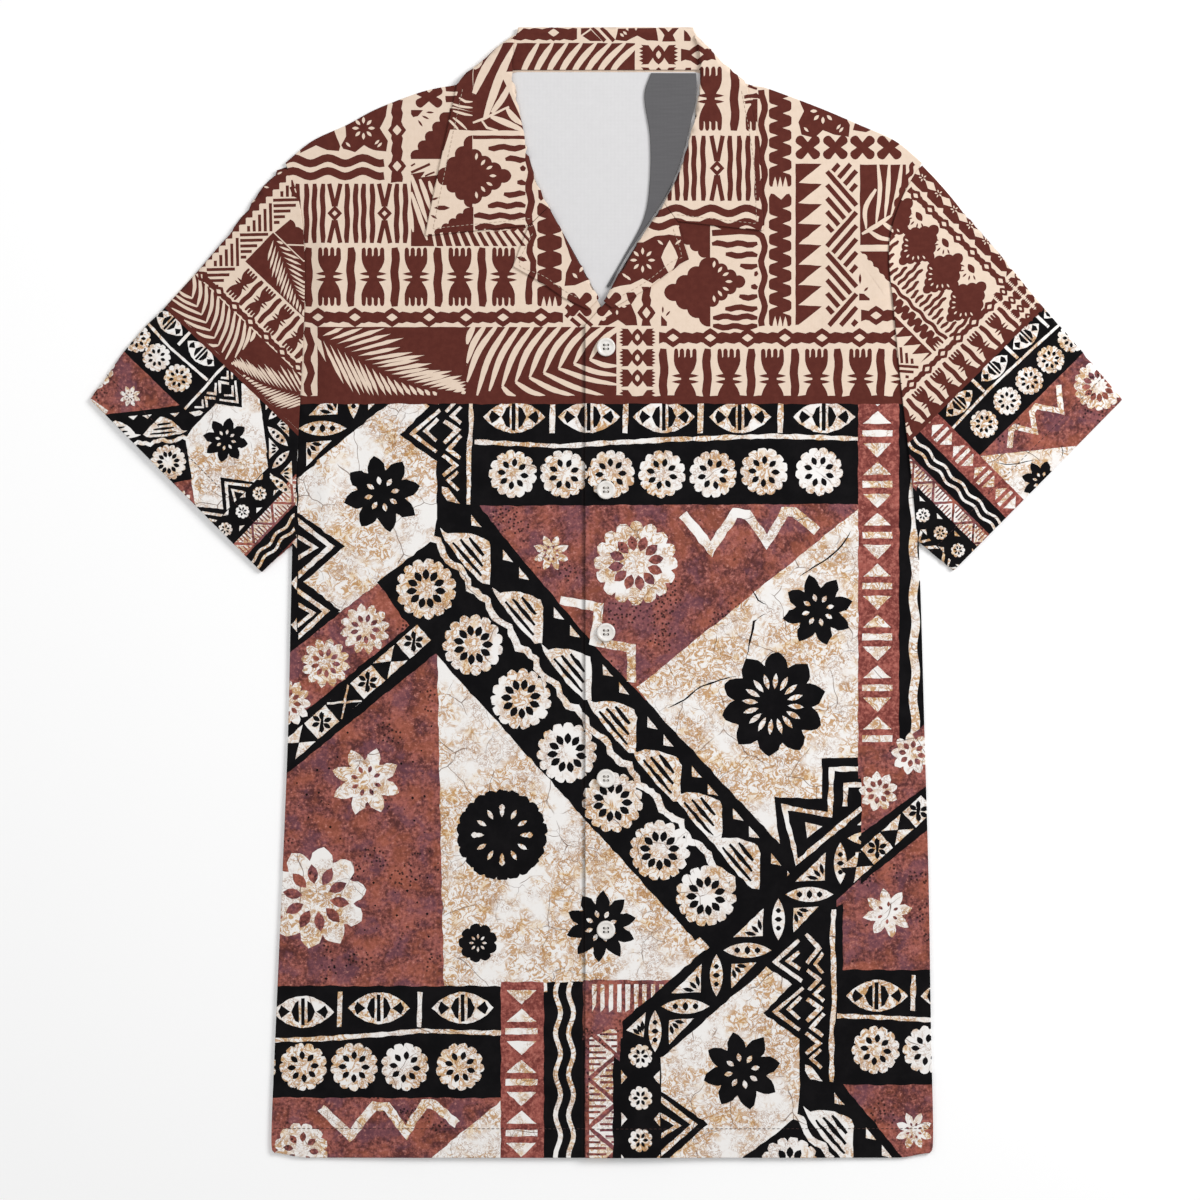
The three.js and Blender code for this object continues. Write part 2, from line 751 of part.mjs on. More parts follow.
addPiece("back", backPanel(), insideCloth);
addPiece("front_right", frontPanel("right"), printedCloth);
addPiece("front_left", frontPanel("left"), printedCloth);
addPiece("sleeve_right", sleeveTube("right"), printedCloth);
addPiece("sleeve_left", sleeveTube("left"), printedCloth);
addPiece("collar", collar(), printedCloth);
addPiece("lapel_right", lapel("right"), printedCloth);
addPiece("lapel_left", lapel("left"), printedCloth);
addPiece("neck_facing", neckFacing(), greyCloth);

const button = buttonSolid();
BUTTON_YS.forEach((y, k) => {
  addPiece(`button_${k + 1}`, button, pearl).position.set(BUTTON_X, y, buttonSeat(y));
});

export default shirt;
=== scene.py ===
# A short-sleeved camp-collar shirt, buttoned and laid flat on its back.
#
# Sizes are in millimetres and go to metres as each piece is made. +Y runs from the hem to the
# collar, +X to the wearer's left and +Z up off the floor. Each piece of cloth is cut in plan with
# its print on it, then laid at its height, turned under along its folds and given its thickness.

import math

import bmesh
import bpy
import numpy as np
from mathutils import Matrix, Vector
from mathutils.geometry import delaunay_2d_cdt


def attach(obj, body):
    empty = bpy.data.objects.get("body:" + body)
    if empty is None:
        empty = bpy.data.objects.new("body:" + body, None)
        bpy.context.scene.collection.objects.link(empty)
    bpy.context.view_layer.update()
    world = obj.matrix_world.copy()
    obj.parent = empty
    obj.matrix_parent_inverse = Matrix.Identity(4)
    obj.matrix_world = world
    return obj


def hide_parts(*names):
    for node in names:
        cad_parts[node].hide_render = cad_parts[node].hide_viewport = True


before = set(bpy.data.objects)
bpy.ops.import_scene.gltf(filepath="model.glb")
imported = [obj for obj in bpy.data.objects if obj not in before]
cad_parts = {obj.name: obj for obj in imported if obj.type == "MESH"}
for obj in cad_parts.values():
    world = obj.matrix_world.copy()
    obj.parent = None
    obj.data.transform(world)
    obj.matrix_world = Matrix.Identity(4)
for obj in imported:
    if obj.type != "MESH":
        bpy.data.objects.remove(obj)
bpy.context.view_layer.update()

# ------------------------------------------------------------------ sizes

CLOTH = 1.2  # one layer
LAYER = 1.5  # from one layer to the next
SEAM = 0.45
HEM_Y = -395.9
COLLAR_TOP_Y = 396.0
BACK_NECK_Y = 365.0
UNDER_EDGE_X, TOP_EDGE_X = 13.3, -14.7
BREAK_Y, UNDER_BREAK_Y = 187.0, 172.0
NECK_ROLL = 1.35  # outer radius of the fold along the neck
SLEEVE_ROLL = 1.55
SHOULDER_ROLL = 2.8
BACK_ROLL = 1.95
SWELL = 1.1
OVERLAP_RAMP = 75.0
GRID = 5.0  # spacing of the points inside a piece
HIDDEN_GRID = 14.0  # the same on a plain back
PROBE = 0.08  # a small step, to find which way the cloth faces
TRIM = 0.6  # the cut lies this far inside the outline, and the rounded edge reaches past it
COLLAR_LIFT = 2.7  # from the cloth's underside up to the collar's, lapels' and facing's face

WEARERS = {-1: "right", 1: "left"}  # a side's name

# y, wearer's right, wearer's left
SIDE_SEAM = [
    (-392.8, -232.2, 226.8), (-381.0, -234.4, 229.2), (-300.0, -231.2, 227.6),
    (-200.0, -226.8, 226.0), (-100.0, -222.8, 223.2), (-20.0, -221.0, 221.0),
    (34.0, -219.8, 219.1),
]
ARMHOLE = [
    (34.0, -219.8, 219.1), (85.0, -217.4, 214.2), (138.0, -214.7, 208.1),
    (195.0, -212.1, 202.5), (240.0, -212.1, 198.8), (272.0, -215.4, 206.4),
    (301.0, -224.6, 221.4),
]
SHOULDER = [
    (316.4, -205.6, 202.4), (327.6, -181.4, 177.4), (338.8, -160.4, 151.0),
    (349.8, -131.4, 121.8), (353.6, -116.0, 110.5), (355.0, -107.0, 102.5),
    (360.4, -84.0, 84.0),
]
NECK_SEAM = [(47.0, 267.5), (64.0, 300.0), (77.0, 335.0), (84.0, 360.4)]
NECK_EDGE = {
    -1: [(-63.9, 391.0), (-65.1, 365.0), (-62.3, 349.7), (-58.8, 328.7), (-51.1, 295.8),
         (-39.9, 270.5), (-21.0, 236.5), (-4.6, 206.0)],
    1: [(62.9, 391.0), (65.8, 365.0), (64.4, 347.6), (59.5, 323.8), (51.2, 295.0),
        (40.3, 272.5), (17.0, 237.5), (-2.0, 204.0)],
}
GORGE = 5
LEAF = {  # shoulder, middle, corner, notch
    -1: [(-103.8, 357.8), (-115.6, 303.0), (-126.7, 249.6), (-53.9, 256.9)],
    1: [(98.6, 356.4), (107.8, 303.0), (110.2, 253.0), (50.2, 259.6)],
}
COLLAR_SHOULDER = {
    -1: [(-102.4, 360.4), (-94.2, 367.0), (-86.6, 372.4), (-80.4, 378.2), (-74.2, 383.6),
         (-66.0, 389.6)],
    1: [(97.0, 358.8), (91.8, 362.6), (86.2, 368.0), (79.6, 373.4), (74.2, 379.2),
        (63.8, 389.6)],
}
FALL_EDGE = [(-92.0, 353.0), (-60.0, 332.0), (0.0, 325.0), (60.0, 332.0), (90.0, 353.0)]
LAPEL = {
    -1: [(-54.4, 255.9), (-65.1, 228.2), (-45.0, 216.9), (-30.0, 206.4), (-12.4, 198.0)],
    1: [(50.6, 258.6), (57.4, 234.2), (47.4, 226.8), (30.6, 213.6), (4.4, 198.6)],
}
FACING_EDGE = [
    (31.4, 363.8), (26.8, 347.0), (30.8, 318.0), (30.4, 285.0), (26.0, 261.0), (12.6, 235.6),
    (0.4, 214.6),
]
SLEEVE_TOP = {
    -1: [(-225.6, 301.4), (-237.6, 288.0), (-257.6, 260.2), (-280.0, 232.2), (-305.2, 204.2),
         (-332.0, 176.0), (-361.6, 135.6)],
    1: [(222.4, 299.6), (232.4, 288.0), (256.2, 260.2), (280.0, 232.2), (302.6, 204.2),
        (327.6, 176.0), (361.8, 135.2)],
}
SLEEVE_UNDER = {-1: [(-220.8, 32.2), (-241.2, 14.2)], 1: [(220.6, 33.8), (243.4, 15.2)]}
FOLDS = [  # x, y, direction in degrees, half length, half width, height
    (176.0, 215.0, 84, 84, 21, 2.0), (-180.0, 228.0, 99, 72, 21, 1.6),
    (-164.0, 56.0, 38, 66, 20, 1.7), (162.0, 52.0, 143, 66, 20, 1.7),
    (-150.0, -240.0, 82, 96, 24, 1.5), (142.0, -205.0, 97, 100, 25, 1.6),
    (-290.0, 150.0, 132, 66, 19, 1.5), (286.0, 152.0, 49, 66, 19, 1.6),
    (-198.0, 205.0, 92, 80, 10, 2.2), (193.0, 240.0, 94, 60, 10, 2.2),
    (-262.0, 190.0, 128, 50, 11, 1.9), (262.0, 172.0, 62, 52, 11, 1.9),
    (198.0, 96.0, 100, 52, 11, 1.7), (-196.0, 70.0, 84, 50, 11, 1.5),
]
# from where to where something rises or dies away: out from the middle, or up the shirt
NECK_RISE, NECK_REACH = (205, 325), (96, 206)
SWELL_TOP, SWELL_REACH = (150, 250), (120, 205)
FOLD_TOP, FOLD_REACH = (238, 300), (195, 214)
SLEEVE_LIFT, SLEEVE_RISE = 3.1, (-2, 46)
STAND_RISE, STAND_ABOVE = 1.2, (366, 392)

HEM_DEPTH = 20.5  # from an edge up to its row of stitches
EDGE_ROW = 4.6
BUTTON_RADIUS = 6.5
BUTTON_PROFILE = [  # radius and height, from the edge in to the flat middle
    (6.5, 1.7), (6.32, 2.12), (5.9, 2.38), (5.2, 2.36), (4.7, 2.15), (4.2, 1.92), (3.4, 1.86),
]
BUTTON_HOLE, BUTTON_PITCH = 0.9, 1.35
BUTTON_YS = [171.7, 71.8, -27.9, -130.0, -236.0]

# ------------------------------------------------------------------ heights


def smooth(low, high, value):
    t = np.clip((value - low) / (high - low), 0.0, 1.0)
    return t * t * (3 - 2 * t)


def fold_height(x, y):
    height = 0.0
    for at_x, at_y, turn, half, wide, high in FOLDS:
        c, s = math.cos(math.radians(turn)), math.sin(math.radians(turn))
        along, across = (x - at_x) * c + (y - at_y) * s, (y - at_y) * c - (x - at_x) * s
        height = height + high * np.exp(-((along / half) ** 2) - (across / wide) ** 2)
    return height


def neck_lift(x, y):
    return LAYER * smooth(*NECK_RISE, y) * (1 - smooth(*NECK_REACH, np.abs(x)))


def body_fullness(x, y):
    inside = 1 - smooth(*SWELL_REACH, np.abs(x))
    edge = (1 - smooth(*FOLD_REACH, np.abs(x))) * (1 - smooth(*FOLD_TOP, y))
    return SWELL * inside * (1 - smooth(*SWELL_TOP, y)) + fold_height(x, y) * edge


def under_front(x, y):
    return LAYER + neck_lift(x, y) + body_fullness(x, y)


def top_front(x, y):
    lift = LAYER * (1 - smooth(UNDER_EDGE_X + 2, UNDER_EDGE_X + OVERLAP_RAMP, x))
    return under_front(x, y) + lift


def front_base(side):
    return top_front if side == 1 else under_front


# ------------------------------------------------------------------ lines in plan


def spline(points, step=3.0):
    """A smooth line through the points, at even steps."""
    p = np.array(points, float)
    if len(p) == 2:
        return straight(points, step)
    p = np.vstack([2 * p[0] - p[1], p, 2 * p[-1] - p[-2]])
    t = np.linspace(0, 1, 24, endpoint=False)[:, None]
    parts = []
    for a, b, c, d in zip(p, p[1:], p[2:], p[3:]):
        parts.append(0.5 * (2 * b + (c - a) * t + (2 * a - 5 * b + 4 * c - d) * t**2
                            + (3 * b - a - 3 * c + d) * t**3))
    return straight(np.vstack([*parts, p[-2:-1]]), step, even=True)


def straight(points, step=3.0, even=False):
    """The points with more between them; even spacing gives up the corners."""
    p = np.array(points, float)
    if even:
        length = np.concatenate([[0], np.cumsum(np.hypot(*np.diff(p, axis=0).T))])
        at = np.linspace(0, length[-1], max(2, round(length[-1] / step) + 1))
        return np.column_stack([np.interp(at, length, p[:, k]) for k in (0, 1)])
    out = [p[:1]]
    for a, b in zip(p, p[1:]):
        count = max(1, round(math.hypot(*(b - a)) / step))
        out.append(a + (b - a) * np.linspace(0, 1, count + 1)[1:, None])
    return np.vstack(out)


def column(table, side):
    return [(row[1 if side < 0 else 2], row[0]) for row in table]


def outward(line, side):
    """Unit vectors square to a line: to its left for side 1, to its right for side -1."""
    along = np.gradient(np.asarray(line, float), axis=0)
    along /= np.maximum(np.hypot(*along.T)[:, None], 1e-9)
    return side * np.column_stack([-along[:, 1], along[:, 0]])


def moved(line, distance):
    return np.asarray(line, float) + outward(line, 1) * distance


def ring_of(*lines):
    """One closed outline, counter-clockwise, from lines end to end."""
    points = np.vstack(lines)
    keep = [points[0]]
    for p in points[1:]:
        if math.hypot(*(p - keep[-1])) > 0.4:
            keep.append(p)
    if math.hypot(*(keep[0] - keep[-1])) < 0.4:
        keep.pop()
    ring = np.array(keep)
    nxt = np.roll(ring, -1, axis=0)
    area = (ring[:, 0] * nxt[:, 1] - nxt[:, 0] * ring[:, 1]).sum()
    return ring if area > 0 else ring[::-1]


def ring_normals(ring):
    along = np.roll(ring, -1, axis=0) - ring
    along /= np.maximum(np.hypot(*along.T)[:, None], 1e-9)
    out = np.column_stack([along[:, 1], -along[:, 0]])
    out = out + np.roll(out, 1, axis=0)
    size = np.hypot(*out.T)[:, None]
    return out / np.maximum(size, 1e-9), np.clip(size / 2, 0.55, 1.0)


def inset(ring, distance):
    out, bend = ring_normals(ring)
    return ring - out * distance / bend


def inside(points, ring):
    """Which of the points lie within the ring."""
    x, y = points[:, 0][:, None], points[:, 1][:, None]
    a, b = ring, np.roll(ring, -1, axis=0)
    spans = (a[:, 1] > y) != (b[:, 1] > y)
    rise = np.where(b[:, 1] == a[:, 1], 1e-12, b[:, 1] - a[:, 1])
    cross = (b[:, 0] - a[:, 0]) * (y - a[:, 1]) / rise + a[:, 0]
    return (spans & (x < cross)).sum(axis=1) % 2 == 1


def nearest(points, line):
    """For each point: distance to the left of the line, foot of it, and the left normal there."""
    a, b = line[:-1], line[1:]
    ab = b - a
    size = (ab**2).sum(axis=1)
    left = np.column_stack([-ab[:, 1], ab[:, 0]]) / np.sqrt(size)[:, None]
    smooth_left = outward(line, 1)
    away, foot, normal = [], [], []
    for start in range(0, len(points), 2000):
        p = points[start : start + 2000]
        t = ((p[:, None] - a) * ab).sum(axis=2) / size
        t[:, 1:-1] = np.clip(t[:, 1:-1], 0, 1)
        t[:, 0], t[:, -1] = np.minimum(t[:, 0], 1), np.maximum(t[:, -1], 0)
        q = a + ab * t[:, :, None]
        k = ((p[:, None] - q) ** 2).sum(axis=2).argmin(axis=1)
        rows = np.arange(len(p))
        u = np.clip(t[rows, k], 0, 1)[:, None]
        n = smooth_left[k] * (1 - u) + smooth_left[k + 1] * u
        foot.append(q[rows, k])
        normal.append(n / np.hypot(*n.T)[:, None])
        away.append(((p - q[rows, k]) * left[k]).sum(axis=1))
    return np.concatenate(away), np.vstack(foot), np.vstack(normal)


# ------------------------------------------------------------------ pieces of cloth


def laid(top, folds=()):
    """How a cut point goes to its place: at a height, and turned under beyond each fold.

    A fold is a line with the cloth's outside on its left, and its outer radius."""

    def place(p):
        x, y, z = p[:, 0], p[:, 1], top(p[:, 0], p[:, 1])
        for line, radius in folds:
            away, foot, normal = nearest(p, line)
            beyond = away + radius
            angle = np.clip(beyond / radius, 0, math.pi)
            reach = radius * np.sin(angle) - np.maximum(beyond - math.pi * radius, 0) - radius
            turns = beyond > 0
            x = np.where(turns, foot[:, 0] + normal[:, 0] * reach, x)
            y = np.where(turns, foot[:, 1] + normal[:, 1] * reach, y)
            start = foot - normal * radius
            turned_z = top(start[:, 0], start[:, 1]) - radius * (1 - np.cos(angle))
            z = np.where(turns, turned_z, z)
        return np.column_stack([x, y, z])

    return place


def with_normals(place, p):
    dx, dy = np.array([PROBE, 0]), np.array([0, PROBE])
    across, along = place(p + dx) - place(p - dx), place(p + dy) - place(p - dy)
    normal = np.cross(across, along)
    return place(p), normal / np.maximum(np.linalg.norm(normal, axis=1)[:, None], 1e-12)


def cut_cloth(ring, grid, shapes, plain):
    """Triangles of a cut piece, each with its dye; points that the print adds go on the ring."""
    low, high = ring.min(axis=0), ring.max(axis=0)
    xs, ys = np.arange(low[0], high[0], grid), np.arange(low[1], high[1], grid)
    inner = np.array([(x + (j % 2) * grid / 2, y) for j, y in enumerate(ys) for x in xs])
    if len(inner):
        inner = inner[inside(inner, inset(ring, min(grid * 0.45, 1.8)))]
    points = [tuple(p) for p in ring] + [tuple(p) for p in inner]
    faces, dyes = [list(range(len(ring)))], [plain]
    for dye, outline in shapes:
        if max(x for x, _ in outline) < low[0] or min(x for x, _ in outline) > high[0]:
            continue
        if max(y for _, y in outline) < low[1] or min(y for _, y in outline) > high[1]:
            continue
        faces.append(list(range(len(points), len(points) + len(outline))))
        dyes.append(dye)
        points += outline
    made = delaunay_2d_cdt(points, [], faces, 1, 1e-4, True)
    places, triangles, origins = np.array([tuple(v) for v in made[0]]), made[2], made[5]
    kept = [(t, dyes[max(o)]) for t, o in zip(triangles, origins) if 0 in o]
    return places, kept


def rim_of(kept):
    """The outer ring of the kept triangles, with the dye at each of its edges."""
    after = {}
    seen = set()
    for triangle, _ in kept:
        for a, b in zip(triangle, (*triangle[1:], triangle[0])):
            seen.add((a, b))
    for triangle, dye in kept:
        for a, b in zip(triangle, (*triangle[1:], triangle[0])):
            if (b, a) not in seen:
                after[a] = (b, dye)
    start = max(after)
    ring, dyes = [start], [after[start][1]]
    while after[ring[-1]][0] != start:
        ring.append(after[ring[-1]][0])
        dyes.append(after[ring[-1]][1])
        if len(ring) > len(after):
            raise ValueError("the outline of a cut piece crosses itself")
    return ring, dyes


RIM_STEPS = 4


def cloth(name, ring, place, face=(), face_plain=0, back=(), back_plain=0, grid=GRID):
    """A closed piece of cloth: its printed face, a rounded edge and its back.

    Gives its points, triangles with dyes, and normals, to be joined into an object."""
    if back:
        for shapes in (face, back):
            places, kept = cut_cloth(ring, grid, shapes, 0)
            ring = places[rim_of(kept)[0]]
    flat, kept = cut_cloth(ring, grid, face, face_plain)
    loop, edge_dyes = rim_of(kept)
    used = sorted({i for t, _ in kept for i in t})
    number = {old: new for new, old in enumerate(used)}
    flat_used = flat[used]
    points, normals = with_normals(place, flat_used)
    faces = [tuple(number[i] for i in t) for t, _ in kept]
    dyes = [d for _, d in kept]
    loop = [number[i] for i in loop]

    ring_flat = flat_used[loop]
    ring_points, ring_face = points[loop], normals[loop]
    sides, _ = ring_normals(ring_flat)
    reach = place(ring_flat + sides * PROBE) - place(ring_flat)
    reach /= np.maximum(np.linalg.norm(reach, axis=1)[:, None], 1e-12)
    half = CLOTH / 2
    all_points, all_normals = [points], [normals]
    total, before, count = len(points), loop, len(loop)
    for k in range(1, RIM_STEPS + 1):
        angle = math.pi * k / RIM_STEPS
        turned = reach * math.sin(angle) + ring_face * math.cos(angle)
        all_points.append(ring_points - ring_face * half + turned * half)
        all_normals.append(turned)
        now = list(range(total, total + count))
        for i in range(count):
            j = (i + 1) % count
            faces.append((before[j], before[i], now[i], now[j]))
            dyes.append(edge_dyes[i])
        before, total = now, total + count

    flat_back, kept_back = cut_cloth(ring_flat, grid if back else HIDDEN_GRID, back, back_plain)
    loop_back = rim_of(kept_back)[0]
    first = int(((flat_back[loop_back] - ring_flat[0]) ** 2).sum(axis=1).argmin())
    loop_back = loop_back[first:] + loop_back[:first]
    if len(loop_back) != count:
        raise ValueError(f"{name}: the edge has {count} points and its back {len(loop_back)}")
    number = dict(zip(loop_back, before))
    rest = sorted({i for t, _ in kept_back for i in t} - set(loop_back))
    number.update({old: total + k for k, old in enumerate(rest)})
    if rest:
        rest_points, rest_normals = with_normals(place, flat_back[rest])
        all_points.append(rest_points - rest_normals * CLOTH)
        all_normals.append(-rest_normals)
    faces += [tuple(number[i] for i in reversed(t)) for t, _ in kept_back]
    dyes += [d for _, d in kept_back]
    return np.vstack(all_points), faces, dyes, np.vstack(all_normals)


def linked(name, data):
    """An object of the data, put in the scene."""
    made = bpy.data.objects.new(name, data)
    bpy.context.collection.objects.link(made)
    return made


def piece(name, parts, material):
    """One object from parts, in metres, with its dye on each face and its normals kept."""
    points, faces, dyes, normals = [], [], [], []
    for p, f, d, n in parts:
        shift = sum(len(q) for q in points)
        faces += [tuple(i + shift for i in face) for face in f]
        points.append(p)
        dyes += d
        normals.append(n)
    mesh = bpy.data.meshes.new(name)
    mesh.from_pydata((np.vstack(points) / 1000).tolist(), [], faces)
    mesh.attributes.new("dye", "FLOAT", "FACE").data.foreach_set("value", [float(d) for d in dyes])
    mesh.polygons.foreach_set("use_smooth", [True] * len(mesh.polygons))
    mesh.normals_split_custom_set_from_vertices(np.vstack(normals).tolist())
    mesh.materials.append(material)
    mesh.update()
    return linked(name, mesh)


# ------------------------------------------------------------------ the print

# The print is laid out in points of 0.7 mm, x to the right and y down, seen from the front.
POINT = 0.7
MIDDLE_X, MIDDLE_Y = 606.0, 592.5  # layout point over the part's origin

# what the cloth is dyed; the grey one is not a dye but painted shade, the shadow inside the neck
# opening, given to the facing
WHITE, BLACK, RUST, MAROON, CREAM, PLAIN, SHADE_GREY, ROSE = range(8)

YOKE_END = 404.0  # below this the tapa squares begin
REPEAT_RIGHT = (363.0, 578.0)  # the squares repeat half a width across and a height down
REPEAT_LEFT = (-361.0, 590.0)
REPEAT_ACROSS = (724.0, -12.0)


def turned(points, x, y, degrees=0.0, scale=1.0):
    """The points turned about the origin, scaled, and moved to (x, y)."""
    c, s = math.cos(math.radians(degrees)) * scale, math.sin(math.radians(degrees)) * scale
    return [(x + c * u - s * v, y + s * u + c * v) for u, v in points]


def subdivided(points, longest):
    out = []
    for (x0, y0), (x1, y1) in zip(points, points[1:] + points[:1]):
        steps = max(1, math.ceil(math.hypot(x1 - x0, y1 - y0) / longest))
        out += [(x0 + (x1 - x0) * k / steps, y0 + (y1 - y0) * k / steps) for k in range(steps)]
    return out


def shaken(point, amount):
    """A point moved a little, as a hand-cut stencil is off its line."""
    x, y = point
    dx = math.sin(x * 0.61 + 1.7 * math.sin(y * 0.23)) + 0.6 * math.sin(y * 1.13 + x * 0.31)
    dy = math.sin(y * 0.57 + 1.9 * math.sin(x * 0.27)) + 0.6 * math.sin(x * 1.07 - y * 0.37)
    return x + 0.5 * amount * dx, y + 0.5 * amount * dy


PETAL_STEPS = 6
FAN_PETALS = 3
OVAL_SIZE = (31.0, 16.0)  # half length, half width


class Ink:
    """Shapes of dye on the cloth, a later one over an earlier one."""

    def __init__(self):
        self.shapes = []
        self.shift = (0.0, 0.0)
        self.window = None  # (low x, low y, high x, high y): shapes wholly outside are left out
        self.rough = 1.0
        self.step = 6.5

    def poly(self, dye, points, rough=None):
        amount = self.rough if rough is None else rough
        dx, dy = self.shift
        points = [(x + dx, y + dy) for x, y in points]
        if self.window:
            low_x, low_y, high_x, high_y = self.window
            if (
                max(x for x, _ in points) < low_x
                or min(x for x, _ in points) > high_x
                or max(y for _, y in points) < low_y
                or min(y for _, y in points) > high_y
            ):
                return
        if amount:
            points = [shaken(p, amount) for p in subdivided(points, self.step)]
        self.shapes.append((dye, points))

    def box(self, dye, x0, y0, x1, y1, rough=None):
        self.poly(dye, [(x0, y0), (x1, y0), (x1, y1), (x0, y1)], rough)

    def line(self, dye, points, width, tips=1.0, rough=None):
        """A band along the points. Its ends are as wide as tips times its middle."""
        left, right = [], []
        count = len(points)
        for k, (x, y) in enumerate(points):
            before, after = points[max(k - 1, 0)], points[min(k + 1, count - 1)]
            ux, uy = x - before[0], y - before[1]
            vx, vy = after[0] - x, after[1] - y
            lu, lv = math.hypot(ux, uy) or 1.0, math.hypot(vx, vy) or 1.0
            nx, ny = -(uy / lu + vy / lv), ux / lu + vx / lv
            size = math.hypot(nx, ny) or 1.0
            nx, ny = nx / size, ny / size
            bend = abs(nx * -uy / lu + ny * ux / lu) if k else 1.0
            half = width / 2 / max(bend, 0.6)
            if k in (0, count - 1):
                half = width / 2 * tips
            left.append((x + nx * half, y + ny * half))
            right.append((x - nx * half, y - ny * half))
        self.poly(dye, left + right[::-1], rough)

    def wave(self, dye, start, end, width, pitch, swing):
        length = math.hypot(end[0] - start[0], end[1] - start[1])
        ux, uy = (end[0] - start[0]) / length, (end[1] - start[1]) / length
        steps = max(4, round(length / pitch * 8))
        points = []
        for k in range(steps + 1):
            s = length * k / steps
            n = swing * math.sin(2 * math.pi * s / pitch)
            points.append((start[0] + ux * s - uy * n, start[1] + uy * s + ux * n))
        self.line(dye, points, width, rough=0.0)

    def lens(self, dye, x, y, long, wide, turn=0.0, count=5, rough=0.0):
        """A pointed oval, of half length long and half width wide."""
        upper = [
            (-long + 2 * long * k / count, wide * math.sin(math.pi * k / count) ** 0.8)
            for k in range(count + 1)
        ]
        lower = [(u, -v) for u, v in upper[1:-1]][::-1]
        self.poly(dye, turned(upper + lower, x, y, turn), rough)

    def disc(self, dye, x, y, r, count):
        angles = [2 * math.pi * k / count for k in range(count)]
        self.poly(dye, [(x + r * math.cos(a), y + r * math.sin(a)) for a in angles], 0.0)

    def rays(self, dye, x, y, near, far, count, wide, turn=0.0):
        """Slender petals round a point."""
        for k in range(count):
            degrees = turn + 360.0 * k / count
            a, middle = math.radians(degrees), (near + far) / 2
            self.lens(dye, x + middle * math.cos(a), y + middle * math.sin(a), (far - near) / 2,
                      wide, degrees, 4)

    def flower(self, dye, x, y, r, count, valley, point=0.7, turn=0.0):
        """A flower's outline: valley is the depth between petals, point how sharp they are."""
        points = []
        for k in range(count * PETAL_STEPS):
            t = abs(2 * (k % PETAL_STEPS) / PETAL_STEPS - 1)
            petal = point * t + (1 - point) * math.sqrt(max(0.0, 1 - (1 - t) ** 2))
            radius = r * (valley + (1 - valley) * petal)
            a = 2 * math.pi * (k / PETAL_STEPS - 0.5) / count + math.radians(turn)
            points.append((x + radius * math.cos(a), y + radius * math.sin(a)))
        self.poly(dye, points, min(1.1, 0.03 * r))

    def rosette(self, x, y, r, ground=BLACK, lobes=13, slits=10, turn=0.0):
        """A white scalloped flower with slits in the colour of its ground."""
        self.flower(WHITE, x, y, r, lobes, 0.86, 0.05, turn)
        self.rays(ground, x, y, r * 0.29, r * 0.67, slits, r * 0.12, turn + 8)

    def star(self, dye, x, y, r, slit, count=8, valley=0.62, turn=0.0, slits=8):
        """A flower with pointed petals, slits in another colour near its middle."""
        self.flower(dye, x, y, r, count, valley, 0.72, turn)
        self.rays(slit, x, y, r * 0.24, r * 0.46, slits, r * 0.062, turn + 22.5)

    def eye(self, x, y, long=24.0, wide=7.5, turn=0.0):
        """A white pointed oval with three seeds."""
        self.lens(WHITE, x, y, long, wide, turn, 7)
        c, s = math.cos(math.radians(turn)), math.sin(math.radians(turn))
        for along, size in ((-0.42, 0.62), (0.0, 0.85), (0.42, 0.62)):
            at_x, at_y = x + along * long * c, y + along * long * s
            self.lens(BLACK, at_x, at_y, wide * 0.72 * size, long * 0.13, turn + 90, 3)

    def fan(self, corner, a, b):
        """A white leaf corner with petals that spread from its corner."""
        self.poly(WHITE, [corner, a, b], 0.5)
        for k in range(FAN_PETALS):
            t = (k + 0.7) / (FAN_PETALS + 0.4)
            tip = (a[0] + (b[0] - a[0]) * t, a[1] + (b[1] - a[1]) * t)
            dx, dy = tip[0] - corner[0], tip[1] - corner[1]
            x, y = corner[0] + dx * 0.52, corner[1] + dy * 0.52
            size = math.hypot(dx, dy)
            self.lens(BLACK, x, y, size * 0.27, 2.2, math.degrees(math.atan2(dy, dx)), 3)

    def oval(self, x, y):
        """The large oval of the upper band: a bar in the middle, then a half round and a
        triangle on each side."""
        long, wide = OVAL_SIZE
        self.lens(WHITE, x, y, long, wide, 0, 9, 0.6)
        self.box(BLACK, x - 2.2, y - wide + 2.5, x + 1.6, y + wide - 2.5, 0.4)
        for side in (-1, 1):
            half = [(4.2, -0.7), (8.0, -0.56), (12.2, 0), (8.0, 0.56), (4.2, 0.7)]
            self.poly(BLACK, [(x + side * u, y + v * wide) for u, v in half], 0.5)
            tie = [(13.4, 0), (22.0, -0.42), (25.0, 0), (22.0, 0.42)]
            self.poly(BLACK, [(x + side * u, y + v * wide) for u, v in tie], 0.4)


def draw(ink, rows):
    """Draws a table. A row is a kind of shape, what it is given, and its settings by name."""
    for shape, *given in rows:
        settings = given.pop() if given and isinstance(given[-1], dict) else {}
        shape(ink, *given, **settings)


# -------------------------------------------------- tapa squares, one repeat of them

ROSETTE_XS = (513, 564, 611, 662, 713, 764, 819)
OVAL_XS = (514, 589, 664, 740, 824)
SEPARATOR_XS = (553, 626, 701, 781)
BAND_START = (426.6, 590.4)  # first large rosette of the slanting band
BAND_ALONG = (0.671, 0.741)
BAND_ROSETTES = [(426, 589), (473, 645), (521, 699), (567, 753), (612.5, 802), (659.5, 850.5),
                 (706, 896)]
BAND_HILLS = [  # along, across
    (-2, -3), (77, -4), (152, -6), (221, -8), (287, -8), (346, -6), (405, -8),
]
LEAF_STEP = (-62.0, 56.0)  # from one group of the leaf band to the next
LEAF_GROUP = (809.4, 894.3)


